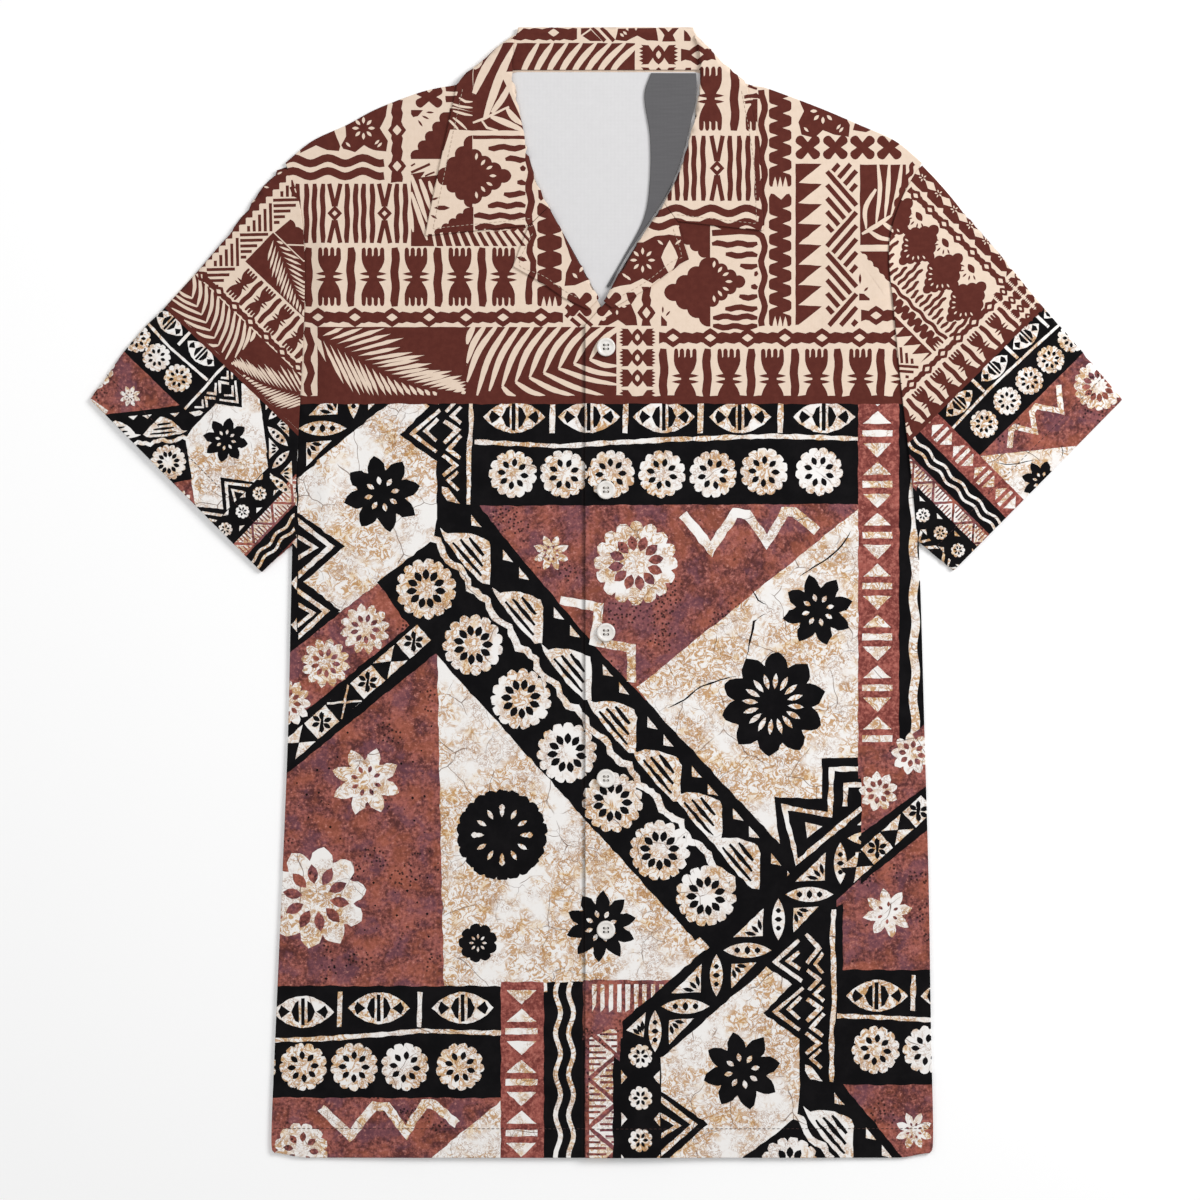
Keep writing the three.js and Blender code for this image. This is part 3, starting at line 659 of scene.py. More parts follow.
def on_band(s, n):
    """A layout point on the slanting band: s along it, n towards its upper right."""
    ux, uy = BAND_ALONG
    return BAND_START[0] + ux * s + uy * n, BAND_START[1] + uy * s - ux * n


def leaf_band(ink, first, last, origin=LEAF_GROUP):
    """The band of eyes and leaf corners, from one group of it to another."""
    for k in range(first, last + 1):
        x, y = origin[0] + LEAF_STEP[0] * k, origin[1] + LEAF_STEP[1] * k
        ink.eye(x, y, 24, 7.5)
        ink.eye(x + 31, y - 31, 21, 6.5, 90)
        ink.fan((x + 15, y - 14), (x - 14, y - 13), (x + 16, y - 42))
        ink.fan((x + 46, y - 42), (x + 71, y - 44), (x + 46, y - 18))


def triangle_column(ink, x0, x1, y0, y1):
    """Bars and pairs of triangles on rust."""
    ink.box(ROSE, x0, y0, x1, y1)
    mid, half = (x0 + x1) / 2 - 1, (x1 - x0) / 2 - 5.5
    y = y0 - 1.7
    while y < y1 + 20:
        for ys in ((-3, -3, 3.2, 3.2), (10, 10, 24), (41.5, 41.5, 28.5)):
            xs = (-half, half, half, -half) if len(ys) == 4 else (-half * 0.95, half * 0.92, 0)
            if y + max(ys) < y1 - 1 and y + min(ys) > y0:
                ink.poly(WHITE, [(mid + u, y + v) for u, v in zip(xs, ys)], 0.6)
        y += 50.9


def wavy_strip(ink, x0, x1, y0, y1):
    ink.box(BLACK, x0, y0, x1, y1)
    for x in (x0 + 11, x0 + 24):
        ink.wave(WHITE, (x, y0), (x, y1), 4.6, 41, 2.6)


def hatch_strip(ink, x0, x1, y0, y1):
    """Triangles and half rounds of short bars on rust."""
    ink.box(RUST, x0, y0, x1, y1)
    y, k = y0 + 4, 0
    while y < y1:
        left = k % 2 == 0
        base = x0 + 4 if left else x1 - 4
        tip = x1 - 7 if left else x0 + 7
        ink.poly(WHITE, [(base, y), (tip, y + 21), (base, y + 42)], 0.8)
        for row in range(1, 7):
            reach = 1 - abs(row * 6 - 21) / 21
            end = base + (tip - base) * reach * 0.8
            ink.box(RUST, min(base, end), y + row * 6 - 1.2, max(base, end), y + row * 6 + 1.2, 0.3)
        y += 24
        k += 1


def small_flower_column(ink, x0, x1, y0, y1):
    ink.box(BLACK, x0, y0, x1, y1)
    mid, y = (x0 + x1) / 2, y0 + 18
    while y < y1:
        ink.flower(WHITE, mid, y, 12, 9, 0.8, 0.1)
        ink.rays(BLACK, mid, y, 2, 8, 6, 1.7)
        for side in (-1, 1):
            edge = mid + side * (x1 - x0) * 0.47
            ink.poly(WHITE, [(edge, y + 14), (edge, y + 28), (edge - side * 6, y + 21)], 0.5)
        y += 42


def cells(ink, start, end, wide, kinds):
    """A strip of square cells: b for a bow of two triangles, f for a flower, x for a cross."""
    count = len(kinds)
    length = math.hypot(end[0] - start[0], end[1] - start[1])
    turn = math.degrees(math.atan2(end[1] - start[1], end[0] - start[0]))
    size = length / count
    for k, kind in enumerate(kinds):
        t = (k + 0.5) / count
        x, y = start[0] + (end[0] - start[0]) * t, start[1] + (end[1] - start[1]) * t
        h, w = size / 2 - 1.3, wide / 2
        ink.poly(WHITE, turned([(-h, -w), (h, -w), (h, w), (-h, w)], x, y, turn), 0.6)
        if kind == "f":
            for a in (20, 75, 130, 200, 255, 310):
                c, r = math.radians(a + turn), 6.4
                ink.lens(BLACK, x + r * math.cos(c), y + r * math.sin(c), 4.4, 2.5, a + turn, 4)
            ink.line(BLACK, turned([(-h * 0.5, w * 0.6), (h * 0.5, -w * 0.6)], x, y, turn), 3.0)
            continue
        for sign in (-1, 1):
            ink.poly(BLACK, turned([(-sign * 0.5, 0), (sign * h, -w), (sign * h, w)], x, y, turn),
                     0.6)
        if kind == "x":
            for sign in (-1, 1):
                ink.poly(BLACK, turned([(0, sign * 2.0), (-h, sign * w), (h, sign * w)], x, y,
                                       turn), 0.4)
            for sign in (-1, 1):
                ink.line(WHITE, turned([(-h, -sign * w), (h, sign * w)], x, y, turn), 2.8, 0.6)


# the black diamond with nested chevrons, and the column of small ones beside it: points, width
CHEVRONS = [
    ([(436, 362), (412, 384), (439, 403)], 4.2), ([(436, 374), (425, 383), (437, 391)], 3.8),
    ([(440, 410), (412, 433.5), (436.5, 452)], 3.8),
    ([(438, 419), (425.5, 431), (436.5, 441)], 3.8),
    ([(461, 339), (450, 349), (461, 362)], 3.8), ([(443, 356), (456, 370), (444, 385)], 4.2),
    ([(460, 375), (452, 386), (460, 395)], 3.6), ([(444, 392), (456, 401), (446, 412)], 4.0),
    ([(461, 407), (452, 416), (461, 423)], 3.8), ([(444, 421), (457.5, 430), (444, 443)], 4.6),
    ([(461, 435.5), (448.5, 449.5), (460, 458)], 4.0),
    ([(443, 455), (456, 465.5), (443, 475.5)], 4.0),
    ([(458, 471.5), (448, 480.5), (458.5, 490)], 3.4),
    ([(444, 489), (457, 503.5), (444, 514.5)], 4.6),
    ([(461, 510), (449.5, 521.5)], 4.2), ([(442, 526), (447, 533)], 4.0),
]
CHEVRON_COLUMN = [
    (Ink.poly, BLACK, [(480, 325), (437, 345), (404, 389), (429, 406), (400, 435), (436.5, 461),
        (437, 545), (480, 530)]),
    *[(Ink.line, WHITE, points, width, 0.9, {"rough": 0.5}) for points, width in CHEVRONS],
    (Ink.poly, WHITE, [(442, 486.5), (448, 488), (458, 501), (450, 505), (442, 493)], 0.4),
    (Ink.line, WHITE, [(471, 331), (469.5, 360), (471.5, 425), (468.7, 455), (468.5, 509)], 4.6),
]

# black teeth with nested chevrons at the left of the first square
TEETH = [
    ([(294, 518), (331, 546.5), (294, 579)], 4.8), ([(292, 533), (315, 547.5), (294, 560)], 4.2),
    ([(280, 578), (326, 611), (282, 652)], 4.6), ([(284, 597), (313, 613), (285, 636)], 4.0),
]
LEFT_ZIGZAGS = [
    (Ink.poly, BLACK, [(250, 478), (297, 512), (345, 546), (304, 582), (340, 610), (286, 656),
        (250, 656)]),
    *[(Ink.line, WHITE, points, width, {"rough": 0.5}) for points, width in TEETH],
]

# the upper part of a repeat: its fields
TOP_FIELDS = [
    (Ink.box, BLACK, 258, 380, 862, 600),
    (Ink.poly, RUST, [(478, 506), (864, 504), (864, 700), (640, 700)]),
    (Ink.poly, WHITE, [(388, 404), (430, 395), (437, 458), (437, 545), (340, 612), (286, 612),
        (286, 478)]),
    (Ink.poly, BLACK, [(258, 380), (416, 380), (388, 404), (292, 480), (286, 600), (258, 600)]),
]

# the columns at its left, and the leaf band of the repeat before
TOP_COLUMNS = [
    (triangle_column, 138, 181, 396, 772),
    (wavy_strip, 184, 219, 396, 772),
    (hatch_strip, 221, 256, 396, 772),
    (draw, LEFT_ZIGZAGS),
    (small_flower_column, 257, 298, 460, 772),
    (Ink.poly, BLACK, [(258, 440), (300, 425), (318, 462), (292, 482), (258, 482)]),
    (leaf_band, 0, 2, (LEAF_GROUP[0] - 363 - 62, LEAF_GROUP[1] - 578 + 56)),
]

# the chevrons and flowers in its white field, and the band of ovals over it
TOP_FLOWERS = [
    (draw, CHEVRON_COLUMN),
    (Ink.star, BLACK, 382, 494, 39, WHITE, {"turn": 10}),
    *[(Ink.oval, x, 417) for x in OVAL_XS],
    *[(Ink.line, WHITE, [(x, 396), (x - 1, 433)], 5.5, {"rough": 0.5}) for x in SEPARATOR_XS],
    (Ink.line, WHITE, [(474, 442), (560, 446), (660, 440), (770, 436), (862, 439)], 4.6),
    *[(Ink.rosette, x, 474 - 2.4 * (k in (5, 6)), 24, {"lobes": 13, "slits": 8, "turn": k * 17})
        for k, x in enumerate(ROSETTE_XS)],
]


def squares_top(ink):
    """The upper part of a repeat, which also shows where the next ones begin."""
    for rows in (TOP_FIELDS, TOP_COLUMNS, TOP_FLOWERS):
        draw(ink, rows)


HUMP = (  # along the band, across it
    (-35, 55), (-26, 56), (-22, 63), (-13, 72), (-1, 79), (7, 82), (14, 79), (23, 70),
    (31, 63), (40, 54), (35, 49), (10, 48), (-23, 50.5),
)
HUMP_BARS = ((6, 54, 22, 4.2), (4.5, 61.5, 17.5, 4.8), (3, 69.3, 11.5, 4.8))


def hill(ink, s, lift):
    """A white hump with slanting bars, on the far side of the band's wavy line."""
    ink.poly(WHITE, [on_band(s + a, n + lift) for a, n in HUMP], 0.9)
    for along, n, half, wide in HUMP_BARS:
        bar = [on_band(s + along - half, n + lift + 0.8), on_band(s + along, n + lift),
               on_band(s + along + half, n + lift - 0.6)]
        ink.line(BLACK, bar, wide, 0.5, 0.6)


def band_edge(ink, first, last):
    """The wavy line of the slanting band, its humps and the small triangles beyond them."""
    wavy = [
        on_band(s, 37.5 - 0.045 * min(s, 170) + 2.6 * math.sin(s * 0.17) + 1.4 * math.sin(s * 0.41))
        for s in range(first, last, 7)
    ]
    ink.line(WHITE, wavy, 6.4, rough=0.9)
    for s, lift in BAND_HILLS:
        if first - 40 < s < last:
            hill(ink, s, lift)
            for a in (-16, 31, 55) if s < 0 else (29, 53):
                tri = [on_band(s + a - 8, 87 + lift), on_band(s + a + 8, 86.3 + lift),
                       on_band(s + a, 80 + lift)]
                ink.poly(WHITE, tri, 0.5)


# the middle of a repeat: white, rust and black fields
MIDDLE_FIELDS = [
    (Ink.poly, WHITE, [(864, 504), (864, 759), (822, 759), (822, 799), (774, 797), (782, 853),
        (636, 688)]),
    (Ink.poly, WHITE, [(434, 646), (585, 820), (712, 950), (700, 992), (444, 992)]),
    (Ink.poly, RUST, [(270, 668), (378, 583), (412, 628), (440, 645), (270, 790)]),
    (Ink.poly, RUST, [(270, 780), (437, 640), (444, 992), (270, 992)]),
    (Ink.poly, BLACK, [(433, 540), (440, 500), (480, 506), (560, 609), *[on_band(*p) for p in
        ((440, 92), (440, -36), (-10, -36))], (408, 627), (399, 612), (377, 582)]),
    (Ink.poly, BLACK, [(270, 740), (408, 627), (422, 612), (446, 646), (435, 654), (270, 787)]),
]

# the slanting band with large rosettes
SLANTING_BAND = [
    *[(Ink.rosette, *at, 30.3, {"lobes": 15, "slits": 11, "turn": k * 23})
        for k, at in enumerate(BAND_ROSETTES)],
    (band_edge, -36, 432),
]

# flowers and zigzags over the band
MIDDLE_FLOWERS = [
    (Ink.star, WHITE, 551, 553, 18.5, RUST, {"turn": 0, "slits": 8, "valley": 0.5}),
    (Ink.rosette, 636, 563, 42, RUST, {"lobes": 16, "slits": 12, "turn": 12}),
    (Ink.line, WHITE, [(683, 514), (711, 549), (735, 513), (748, 515), (767, 542), (785, 512),
        (794, 512), (817, 531)], 9.5),
    (Ink.line, WHITE, [(560, 600), (599, 607), (594, 641), (631, 648), (632, 682)], 9.0),
    (Ink.star, BLACK, 818, 610, 36, WHITE, {"turn": 8}),
    (Ink.flower, BLACK, 773, 704, 53, 10, 0.74, 0.6, 5),
    (Ink.rays, WHITE, 773, 704, 15, 31, 16, 2.6, 6),
]

# cracks in the white field
CRACKS = [(Ink.line, BLACK, crack, 1.6, 0.2) for crack in (
    [(851, 531), (842, 546), (826, 560), (812, 568), (800, 576)],
    [(764, 614), (754, 622), (750, 640), (746, 662)],
    [(736, 676), (716, 682), (700, 687), (684, 700), (668, 708)],
    [(752, 590), (758, 600), (767, 605)],
)]

# the rust band with stars, the strip of square cells under it and two flowers
RUST_BAND = [
    *[row for x, y, r in ((365, 629, 25.5), (325.5, 663, 25), (287, 703, 24)) for row in (
        (Ink.flower, WHITE, x, y, r, 12, 0.72, 0.5, x),
        (Ink.rays, RUST, x, y, r * 0.26, r * 0.6, 9, r * 0.1, x),
    )],
    (cells, (287, 752.5), (425, 631.5), 21, "bfxfbf"),
    (Ink.star, WHITE, 366, 781, 35, RUST, {"count": 8, "valley": 0.58, "turn": -4, "slits": 8}),
    (Ink.flower, WHITE, 316, 898, 51, 10, 0.74, 0.45, 8),
    (Ink.rays, RUST, 316, 898, 14, 34, 10, 5.4, 10),
]

# flowers of the lower white field
LOWER_FLOWERS = [
    (Ink.flower, BLACK, 502, 835, 45.5, 22, 0.95, 0.0, 0),
    (Ink.rays, WHITE, 502, 835, 18, 29, 12, 2.2, 0),
    (Ink.rays, WHITE, 502, 835, 24, 31, 4, 3.0, 0),
    (Ink.flower, BLACK, 478, 943, 19.5, 9, 0.84, 0.1),
    (Ink.rays, WHITE, 478, 943, 4, 9, 8, 1.2),
    (Ink.star, BLACK, 601, 926, 36, WHITE, {"count": 10, "valley": 0.62, "turn": 4, "slits": 8}),
]


SPLASH_FIELD = (284, 690, 148, 292)  # left, top, width, height
SPLASH_EDGE_Y = 790  # the rust field's slanting edge meets the field's left side here
SPLASH_CLEAR = ((366, 783, 38), (316, 898, 54))  # round the two flowers
SPREAD = (0.7548776662, 0.5698402910)  # steps that spread points evenly over a field


def splashes(ink):
    """Small splashes of black on the rust field."""
    left, top, width, height = SPLASH_FIELD
    for k in range(150):
        a, b = (k * SPREAD[0]) % 1.0, (k * SPREAD[1]) % 1.0
        x, y = left + width * a, top + height * b
        clear = all(math.hypot(x - at_x, y - at_y) > r for at_x, at_y, r in SPLASH_CLEAR)
        dense = math.sin(x * 0.06) + math.sin(y * 0.05) > -0.5
        if clear and dense and x - left > (SPLASH_EDGE_Y - y) * 1.05:
            ink.disc(BLACK, x, y, 0.8 + 0.9 * ((k * 37) % 10) / 10, 4)


def squares_middle(ink):
    """The middle of a repeat: slanting band, rust and white fields with flowers."""
    for rows in (MIDDLE_FIELDS, SLANTING_BAND, MIDDLE_FLOWERS, CRACKS, RUST_BAND):
        draw(ink, rows)
    splashes(ink)
    draw(ink, LOWER_FLOWERS)


# the lower right of a repeat: leaf band and a stair of chevrons
CORNER_STAIR = [
    (Ink.poly, BLACK, [(600, 1052), (640, 1006), (703, 953), (930, 745), (930, 830), (751, 985),
        (640, 1076), (600, 1120)]),
    (leaf_band, -1, 3),
    (Ink.poly, BLACK, [(822, 758), (872, 758), (872, 812), (800, 872), (780, 850), (774, 797),
        (822, 801)]),
    (Ink.line, WHITE, [(862, 769), (832, 769), (830, 815), (784, 807), (797, 862), (862, 808)],
        5.0),
    (Ink.line, WHITE, [(862, 785), (846, 785), (845, 806)], 4.4),
    (Ink.poly, WHITE, [(805, 822), (822, 826), (807, 838)], 0.5),
]

# rust with a star, right of the seam of the squares
CORNER_RUST = [
    (Ink.poly, RUST, [(861, 738), (940, 700), (940, 782), (862, 842)]),
    (Ink.poly, RUST, [(836, 900), (940, 812), (940, 980), (836, 980)]),
    (Ink.poly, BLACK, [(861, 834), (940, 776), (940, 820), (861, 884)]),
    (cells, (846, 876.5), (929, 802), 20, "bfbf"),
    (Ink.star, WHITE, 888, 913, 25, RUST, {"count": 8, "valley": 0.55, "turn": 12, "slits": 6}),
]


def squares_corner(ink):
    """The lower right of a repeat: leaf band, stair of chevrons, rust with stars."""
    for rows in (CORNER_STAIR, CORNER_RUST):
        draw(ink, rows)


# the columns of the repeat at the right
COLUMNS_ACROSS = [
    (triangle_column, 134, 175, 396, 758),
    (Ink.box, BLACK, 175, 396, 240, 758),
    (Ink.wave, WHITE, (190.5, 447), (190.5, 758), 8.4, 50, 1.5),
    (Ink.poly, RUST, [(134, 758), (175, 757), (240, 706), (240, 790), (134, 790)]),
]

# stars, and the strip and leaf band that run on over the start of the next square
OVER_NEXT_SQUARE = [
    *[row for x, y, r in ((878.5, 791.5, 20), (912, 754, 21)) for row in (
        (Ink.flower, WHITE, x, y, r, 9, 0.7, 0.6, 4),
        (Ink.rays, RUST, x, y, r * 0.26, r * 0.64, 8, r * 0.13, 9),
    )],
    (Ink.poly, RUST, [(583, 980), (676, 980), (622, 1024), (583, 1040)]),
    *[(Ink.poly, WHITE, [(x, 984), (x + 4.4, 984), (x + 4.2, 1012 - 2.6 * abs(k - 3)), (x, 1012)],
        0.5) for k in range(9) for x in [592 + 8.4 * k]],
    (Ink.poly, RUST, [(612, 1026), (640, 1012), (690, 978), (696, 984), (624, 1040)], 0.4),
    (Ink.poly, BLACK, [(704, 951), (622, 1021), (622, 1062), (663, 1057), (770, 963), (745, 935)]),
    (leaf_band, 1, 2),
    (Ink.eye, 655, 1031, 21, 6.5, 90),
    (Ink.fan, (643, 1037), (626, 1030), (646, 1012)),
    (Ink.fan, (669, 1020), (694, 1018), (669, 1044)),
    (Ink.flower, WHITE, 640.5, 1056, 12, 9, 0.8, 0.1),
    (Ink.rays, BLACK, 640.5, 1056, 2, 8, 6, 1.7),
]


NEXT_WINDOW = (270, 960, 940, 1180)  # where the next square shows on the shirt
ACROSS_WINDOW = (850, 380, 960, 760)  # where the repeat at the right does
COLUMNS_SHIFT = (724, -8)  # from the next square at the left to the columns beyond it


def squares(ink):
    """All the squares of a body panel."""
    squares_top(ink)
    squares_middle(ink)
    squares_corner(ink)
    ink.window = NEXT_WINDOW
    for shift in (REPEAT_LEFT, REPEAT_RIGHT):
        ink.shift = shift
        next_square(ink, shift)
    ink.shift, ink.window = REPEAT_ACROSS, ACROSS_WINDOW
    draw(ink, COLUMNS_ACROSS)
    ink.shift, ink.window = (0.0, 0.0), None
    draw(ink, OVER_NEXT_SQUARE)


# the start of the next repeat down, at the right
NEXT_ON_RIGHT = [
    (Ink.poly, BLACK, [(475, 392), (600, 392), (600, 604), (258, 604), (258, 470), (388, 404),
        (475, 330)]),
    (Ink.poly, RUST, [(480, 507), (620, 507), (620, 604), (560, 604)]),
    (Ink.poly, WHITE, [(388, 404), (404, 389), (429, 406), (400, 435), (437, 461), (437, 540),
        (340, 608), (286, 640), (292, 480)]),
    (draw, LEFT_ZIGZAGS),
    (small_flower_column, 257, 298, 460, 604),
    (draw, CHEVRON_COLUMN),
    (Ink.star, BLACK, 379, 493, 39.5, WHITE, {"turn": 10}),
    (Ink.poly, BLACK, [(377, 582), (433, 540), (440, 500), (480, 506), (560, 609), (377, 609)]),
    (Ink.rosette, 427, 589, 30.3, {"lobes": 15, "slits": 11}),
    *[(Ink.oval, x, 418) for x in OVAL_XS[:2]],
    (Ink.line, WHITE, [(551, 398), (550, 433)], 5.0),
    (Ink.line, WHITE, [(474, 438), (530, 440), (600, 444)], 4.6),
    *[(Ink.rosette, x, 472, 24, {"lobes": 13, "slits": 8}) for x in ROSETTE_XS[:2]],
    (band_edge, -36, 50),
    (Ink.star, WHITE, 551, 553, 19, RUST, {"turn": 0, "valley": 0.5}),
]

# the start of the next repeat down, at the left
NEXT_ON_LEFT = [
    (Ink.box, BLACK, 600, 396, 862, 508),
    (Ink.box, RUST, 600, 508, 862, 600),
    (Ink.poly, WHITE, [(862, 511), (862, 600), (752, 600)]),
    *[(Ink.oval, x, 418 + (x < 700) * 4) for x in OVAL_XS[2:]],
    *[(Ink.line, WHITE, [(x, 402), (x - 1, 437)], 4.5, {"rough": 0.5}) for x in SEPARATOR_XS[2:]],
    (Ink.line, WHITE, [(600, 452), (700, 448), (780, 441), (862, 443)], 4.6),
    *[(Ink.rosette, x + 2, 477, 24, {"lobes": 13, "slits": 8, "turn": x}) for x in ROSETTE_XS[2:]],
    (Ink.rosette, 662, 560, 27, RUST, {"lobes": 12, "slits": 8}),
    (Ink.line, WHITE, [(682, 518), (711, 546), (735, 516), (748, 517), (767, 543), (785, 514),
        (794, 514), (818, 534)], 9.0),
]

# the columns that follow it
NEXT_COLUMNS = [
    (triangle_column, 138, 181, 400, 600),
    (wavy_strip, 184, 222, 400, 600),
    (hatch_strip, 222, 258, 400, 600),
]


def next_square(ink, shift):
    """The start of the next repeat down, as far as a shirt's length shows it."""
    if shift == REPEAT_RIGHT:
        draw(ink, NEXT_ON_RIGHT)
        return
    draw(ink, NEXT_ON_LEFT)
    ink.shift = (shift[0] + COLUMNS_SHIFT[0], shift[1] + COLUMNS_SHIFT[1])
    draw(ink, NEXT_COLUMNS)
    ink.shift = shift


# ------------------------------------------------ yoke: bands of siapo motifs, maroon on cream


FORK_HALF = 11.4  # half the width of a goblet
DASH_WIDE = 5.8
HATCH_RISE = 34.0


def wavy_bar(ink, x, y0, y1, wide=5.0, swing=0.5):
    steps = max(4, round((y1 - y0) / 6))
    phase = x * 1.7
    points = [
        (x + swing * math.sin(phase + k * 1.3), y0 + (y1 - y0) * k / steps)
        for k in range(steps + 1)
    ]
    ink.line(MAROON, points, wide, 0.72, rough=0.0)


def fork(ink, x, y0, y1, part=0, floor=1e9):
    """Two goblets foot to foot with a knot between them; part 1 is the lower one only."""
    mid = (y0 + y1) / 2
    tines = []
    for k, at in enumerate((-0.8, -0.29, 0.25, 0.8)):
        tines += [(at - 0.21, 0.74), (at - 0.19, 0.94), (at - 0.09, 1.0), (at + 0.08, 1.0),
                  (at + 0.18, 0.93), (at + 0.2, 0.7 if k < 3 else 0.74)]
    right = [(1.0, 0.6), (0.93, 0.47), (0.78, 0.33), (0.56, 0.2), (0.4, 0.1), (0.36, 0.0)]
    cup = [*tines, *right, *[(-u, v) for u, v in right[::-1]]]
    for sign, end in ((-1, y0), (1, y1)):
        if not part or sign == part:
            reach = sign * abs(end - mid)
            ink.poly(MAROON, [(x + u * FORK_HALF, min(mid + reach * v, floor))
                              for u, v in cup], 0.25)
    for y in (mid - 3.0, mid + 3.0):
        ink.lens(MAROON, x, y, FORK_HALF * 1.2, 2.3, 0, 8)


def link(ink, x, y, turn=0.0, long=12.5, high=9.8, hole=(5.6, 3.9)):
    """A solid diamond with an open one in it."""
    for dye, u, v in ((MAROON, long, high), (CREAM, *hole)):
        shape = [(-u, 0), (-u * 0.42, -v * 0.66), (0, -v), (u * 0.42, -v * 0.66), (u, 0),
                 (u * 0.42, v * 0.66), (0, v), (-u * 0.42, v * 0.66)]
        ink.poly(dye, turned(shape, x, y, turn), 0.0)


def chain(ink, start, end, wide, links):
    """A bar with a nibbled edge and open diamonds on it, at the given distances."""
    length = math.hypot(end[0] - start[0], end[1] - start[1])
    turn = math.degrees(math.atan2(end[1] - start[1], end[0] - start[0]))
    steps = round(length / 4.2)
    upper = [(length * k / steps, -wide / 2 - (0.7, 0.0, -0.9)[k % 3]) for k in range(steps + 1)]
    lower = [(u, wide / 2 + (0.8, -0.8, 0.2)[k % 3]) for k, (u, _) in enumerate(upper)]
    ink.poly(MAROON, turned(upper + lower[::-1], *start, turn), 0.0)
    for s in links:
        (x, y), = turned([(s, 0)], *start, turn)
        link(ink, x, y, turn)


def lattice(ink, bars, crossings, y0, y1):
    for x in bars:
        wavy_bar(ink, x, y0, y1, 5.2)
    mid = (y0 + y1) / 2
    for x in crossings:
        for sign, end in ((-1, y0), (1, y1)):
            for side in (-1, 1):
                ink.line(MAROON, [(x + side * 5.6, end), (x + side * 0.6, mid + sign * 7)], 5.6,
                         0.8, 0.0)
        ink.poly(MAROON, [(x - 7.4, mid), (x, mid - 8), (x + 7.4, mid), (x, mid + 8)], 0.0)
        ink.poly(CREAM, [(x - 2.8, mid), (x, mid - 2.8), (x + 2.8, mid), (x, mid + 2.8)], 0.0)


def seeds(ink, places, long=3.4, wide=1.3, dye=CREAM):
    for x, y, turn in places:
        ink.lens(dye, x, y, long, wide, turn, 3)


MOTH_WINGS = [
    (-20, 18), (-22, 10), (-17, 0), (-23, -14), (-24, -22), (-8, -20), (8, -22), (24, -24),
    (23, -12), (17, 0), (24, 12), (23, 23), (10, 21), (0, 17), (-8, 24), (-19, 21),
]
MOTH_SEEDS = [(-15, 16.5), (14, 14), (16.4, 16.6)]
MOTH_SEED_TURNS = (45, -50, -50)


def moth(ink, x, y, scale, turn):
    """A moth with a flower on its back and curved wings."""
    ink.poly(MAROON, turned(MOTH_WINGS, x, y, turn, scale), 0.3)
    ink.rays(CREAM, x, y, 5 * scale, 11.5 * scale, 8, 1.5 * scale, turn)
    places = turned(MOTH_SEEDS, x, y, turn, scale)
    seeds(ink, [(*p, a + turn) for p, a in zip(places, MOTH_SEED_TURNS)])


def scallops(start, end, count, depth):
    """A line of round bumps on its left, from start to end."""
    length = math.hypot(end[0] - start[0], end[1] - start[1])
    ux, uy = (end[0] - start[0]) / length, (end[1] - start[1]) / length
    points = []
    for k in range(count * 5):
        s, rise = length * k / (count * 5), depth * abs(math.sin(math.pi * k / 5)) ** 0.7
        points.append((start[0] + ux * s + uy * rise, start[1] + uy * s - ux * rise))
    return points


def scalloped_star(ink, x, top, bottom, tip, far):
    """A scalloped lozenge: solid to its left tip, and seeded to its right one, far."""
    ink.poly(MAROON, [*scallops((x, bottom), tip, 4, 3.0), *scallops(tip, (x, top), 4, 3.4),
                      (x, top)], 0.0)
    high, low = far[1] - (far[0] - x) * 0.68, far[1] + (far[0] - x) * 0.72
    ink.poly(MAROON, [*scallops((x, high), far, 4, 2.6), *scallops(far, (x, low), 4, 2.6),
                      (x, low)], 0.0)
    for k in range(7):
        a = math.radians(-81 + 27 * k)
        reach = (far[0] - x) * (0.5, 0.42, 0.46, 0.5, 0.46, 0.42, 0.5)[k]
        ink.lens(CREAM, x + 1 + reach * math.cos(a), far[1] + reach * math.sin(a), 3.6, 1.5,
                 math.degrees(a), 4)


def dashes(ink, x0, x1, rows):
    """Short wavy bars; a row gives its y and where it starts, as a part of the width."""
    for y, part in rows:
        start = x0 + (x1 - x0) * part
        steps = max(2, round((x1 - start) / 5))
        points = [
            (start + (x1 - start) * k / steps, y + 1.1 * math.sin(y + start * 0.2 + k * 1.5))
            for k in range(steps + 1)
        ]
        ink.line(MAROON, points, DASH_WIDE, 0.55, rough=0.0)


def caterpillar(ink, x0, x1, y0, y1, left, right, pitch, top=True):
    """A thick bar with narrow notches, from the first one down on each side, and a combed foot."""
    width = x1 - x0

    def notches(edge, inward, y):
        out = []
        while y < y1 - 12:
            out += [(edge, y - 4.2), (edge + inward * 1.6, y - 2.4), (edge + inward * 8.8, y),
                    (edge + inward * 1.6, y + 2.4), (edge, y + 4.2)]
            y += pitch
        return out

    foot = [(x0, y1 - 2), (x0 + 1.5, y1)]
    for k in range(3):
        notch = x0 + width * (0.27 + 0.23 * k)
        foot += [(notch - 2.4, y1), (notch - 1.4, y1 - 5), (notch, y1 - 10), (notch + 1.4, y1 - 5),
                 (notch + 2.2, y1)]
    foot += [(x1 - 1.5, y1), (x1, y1 - 2)]
    middle = (x0 + x1) / 2
    head = [(x1, y0), (x0, y0)]
    if top:
        head = [(x1, y0 + 4), (x1 - 2, y0), (x1 - 5, y0 + 0.5), (middle + 1, y0 + 6),
                (x0 + 5, y0 + 0.5), (x0 + 2, y0), (x0, y0 + 4)]
    ink.poly(MAROON, [*notches(x0, 1, left), *foot, *notches(x1, -1, right)[::-1], *head], 0.2)


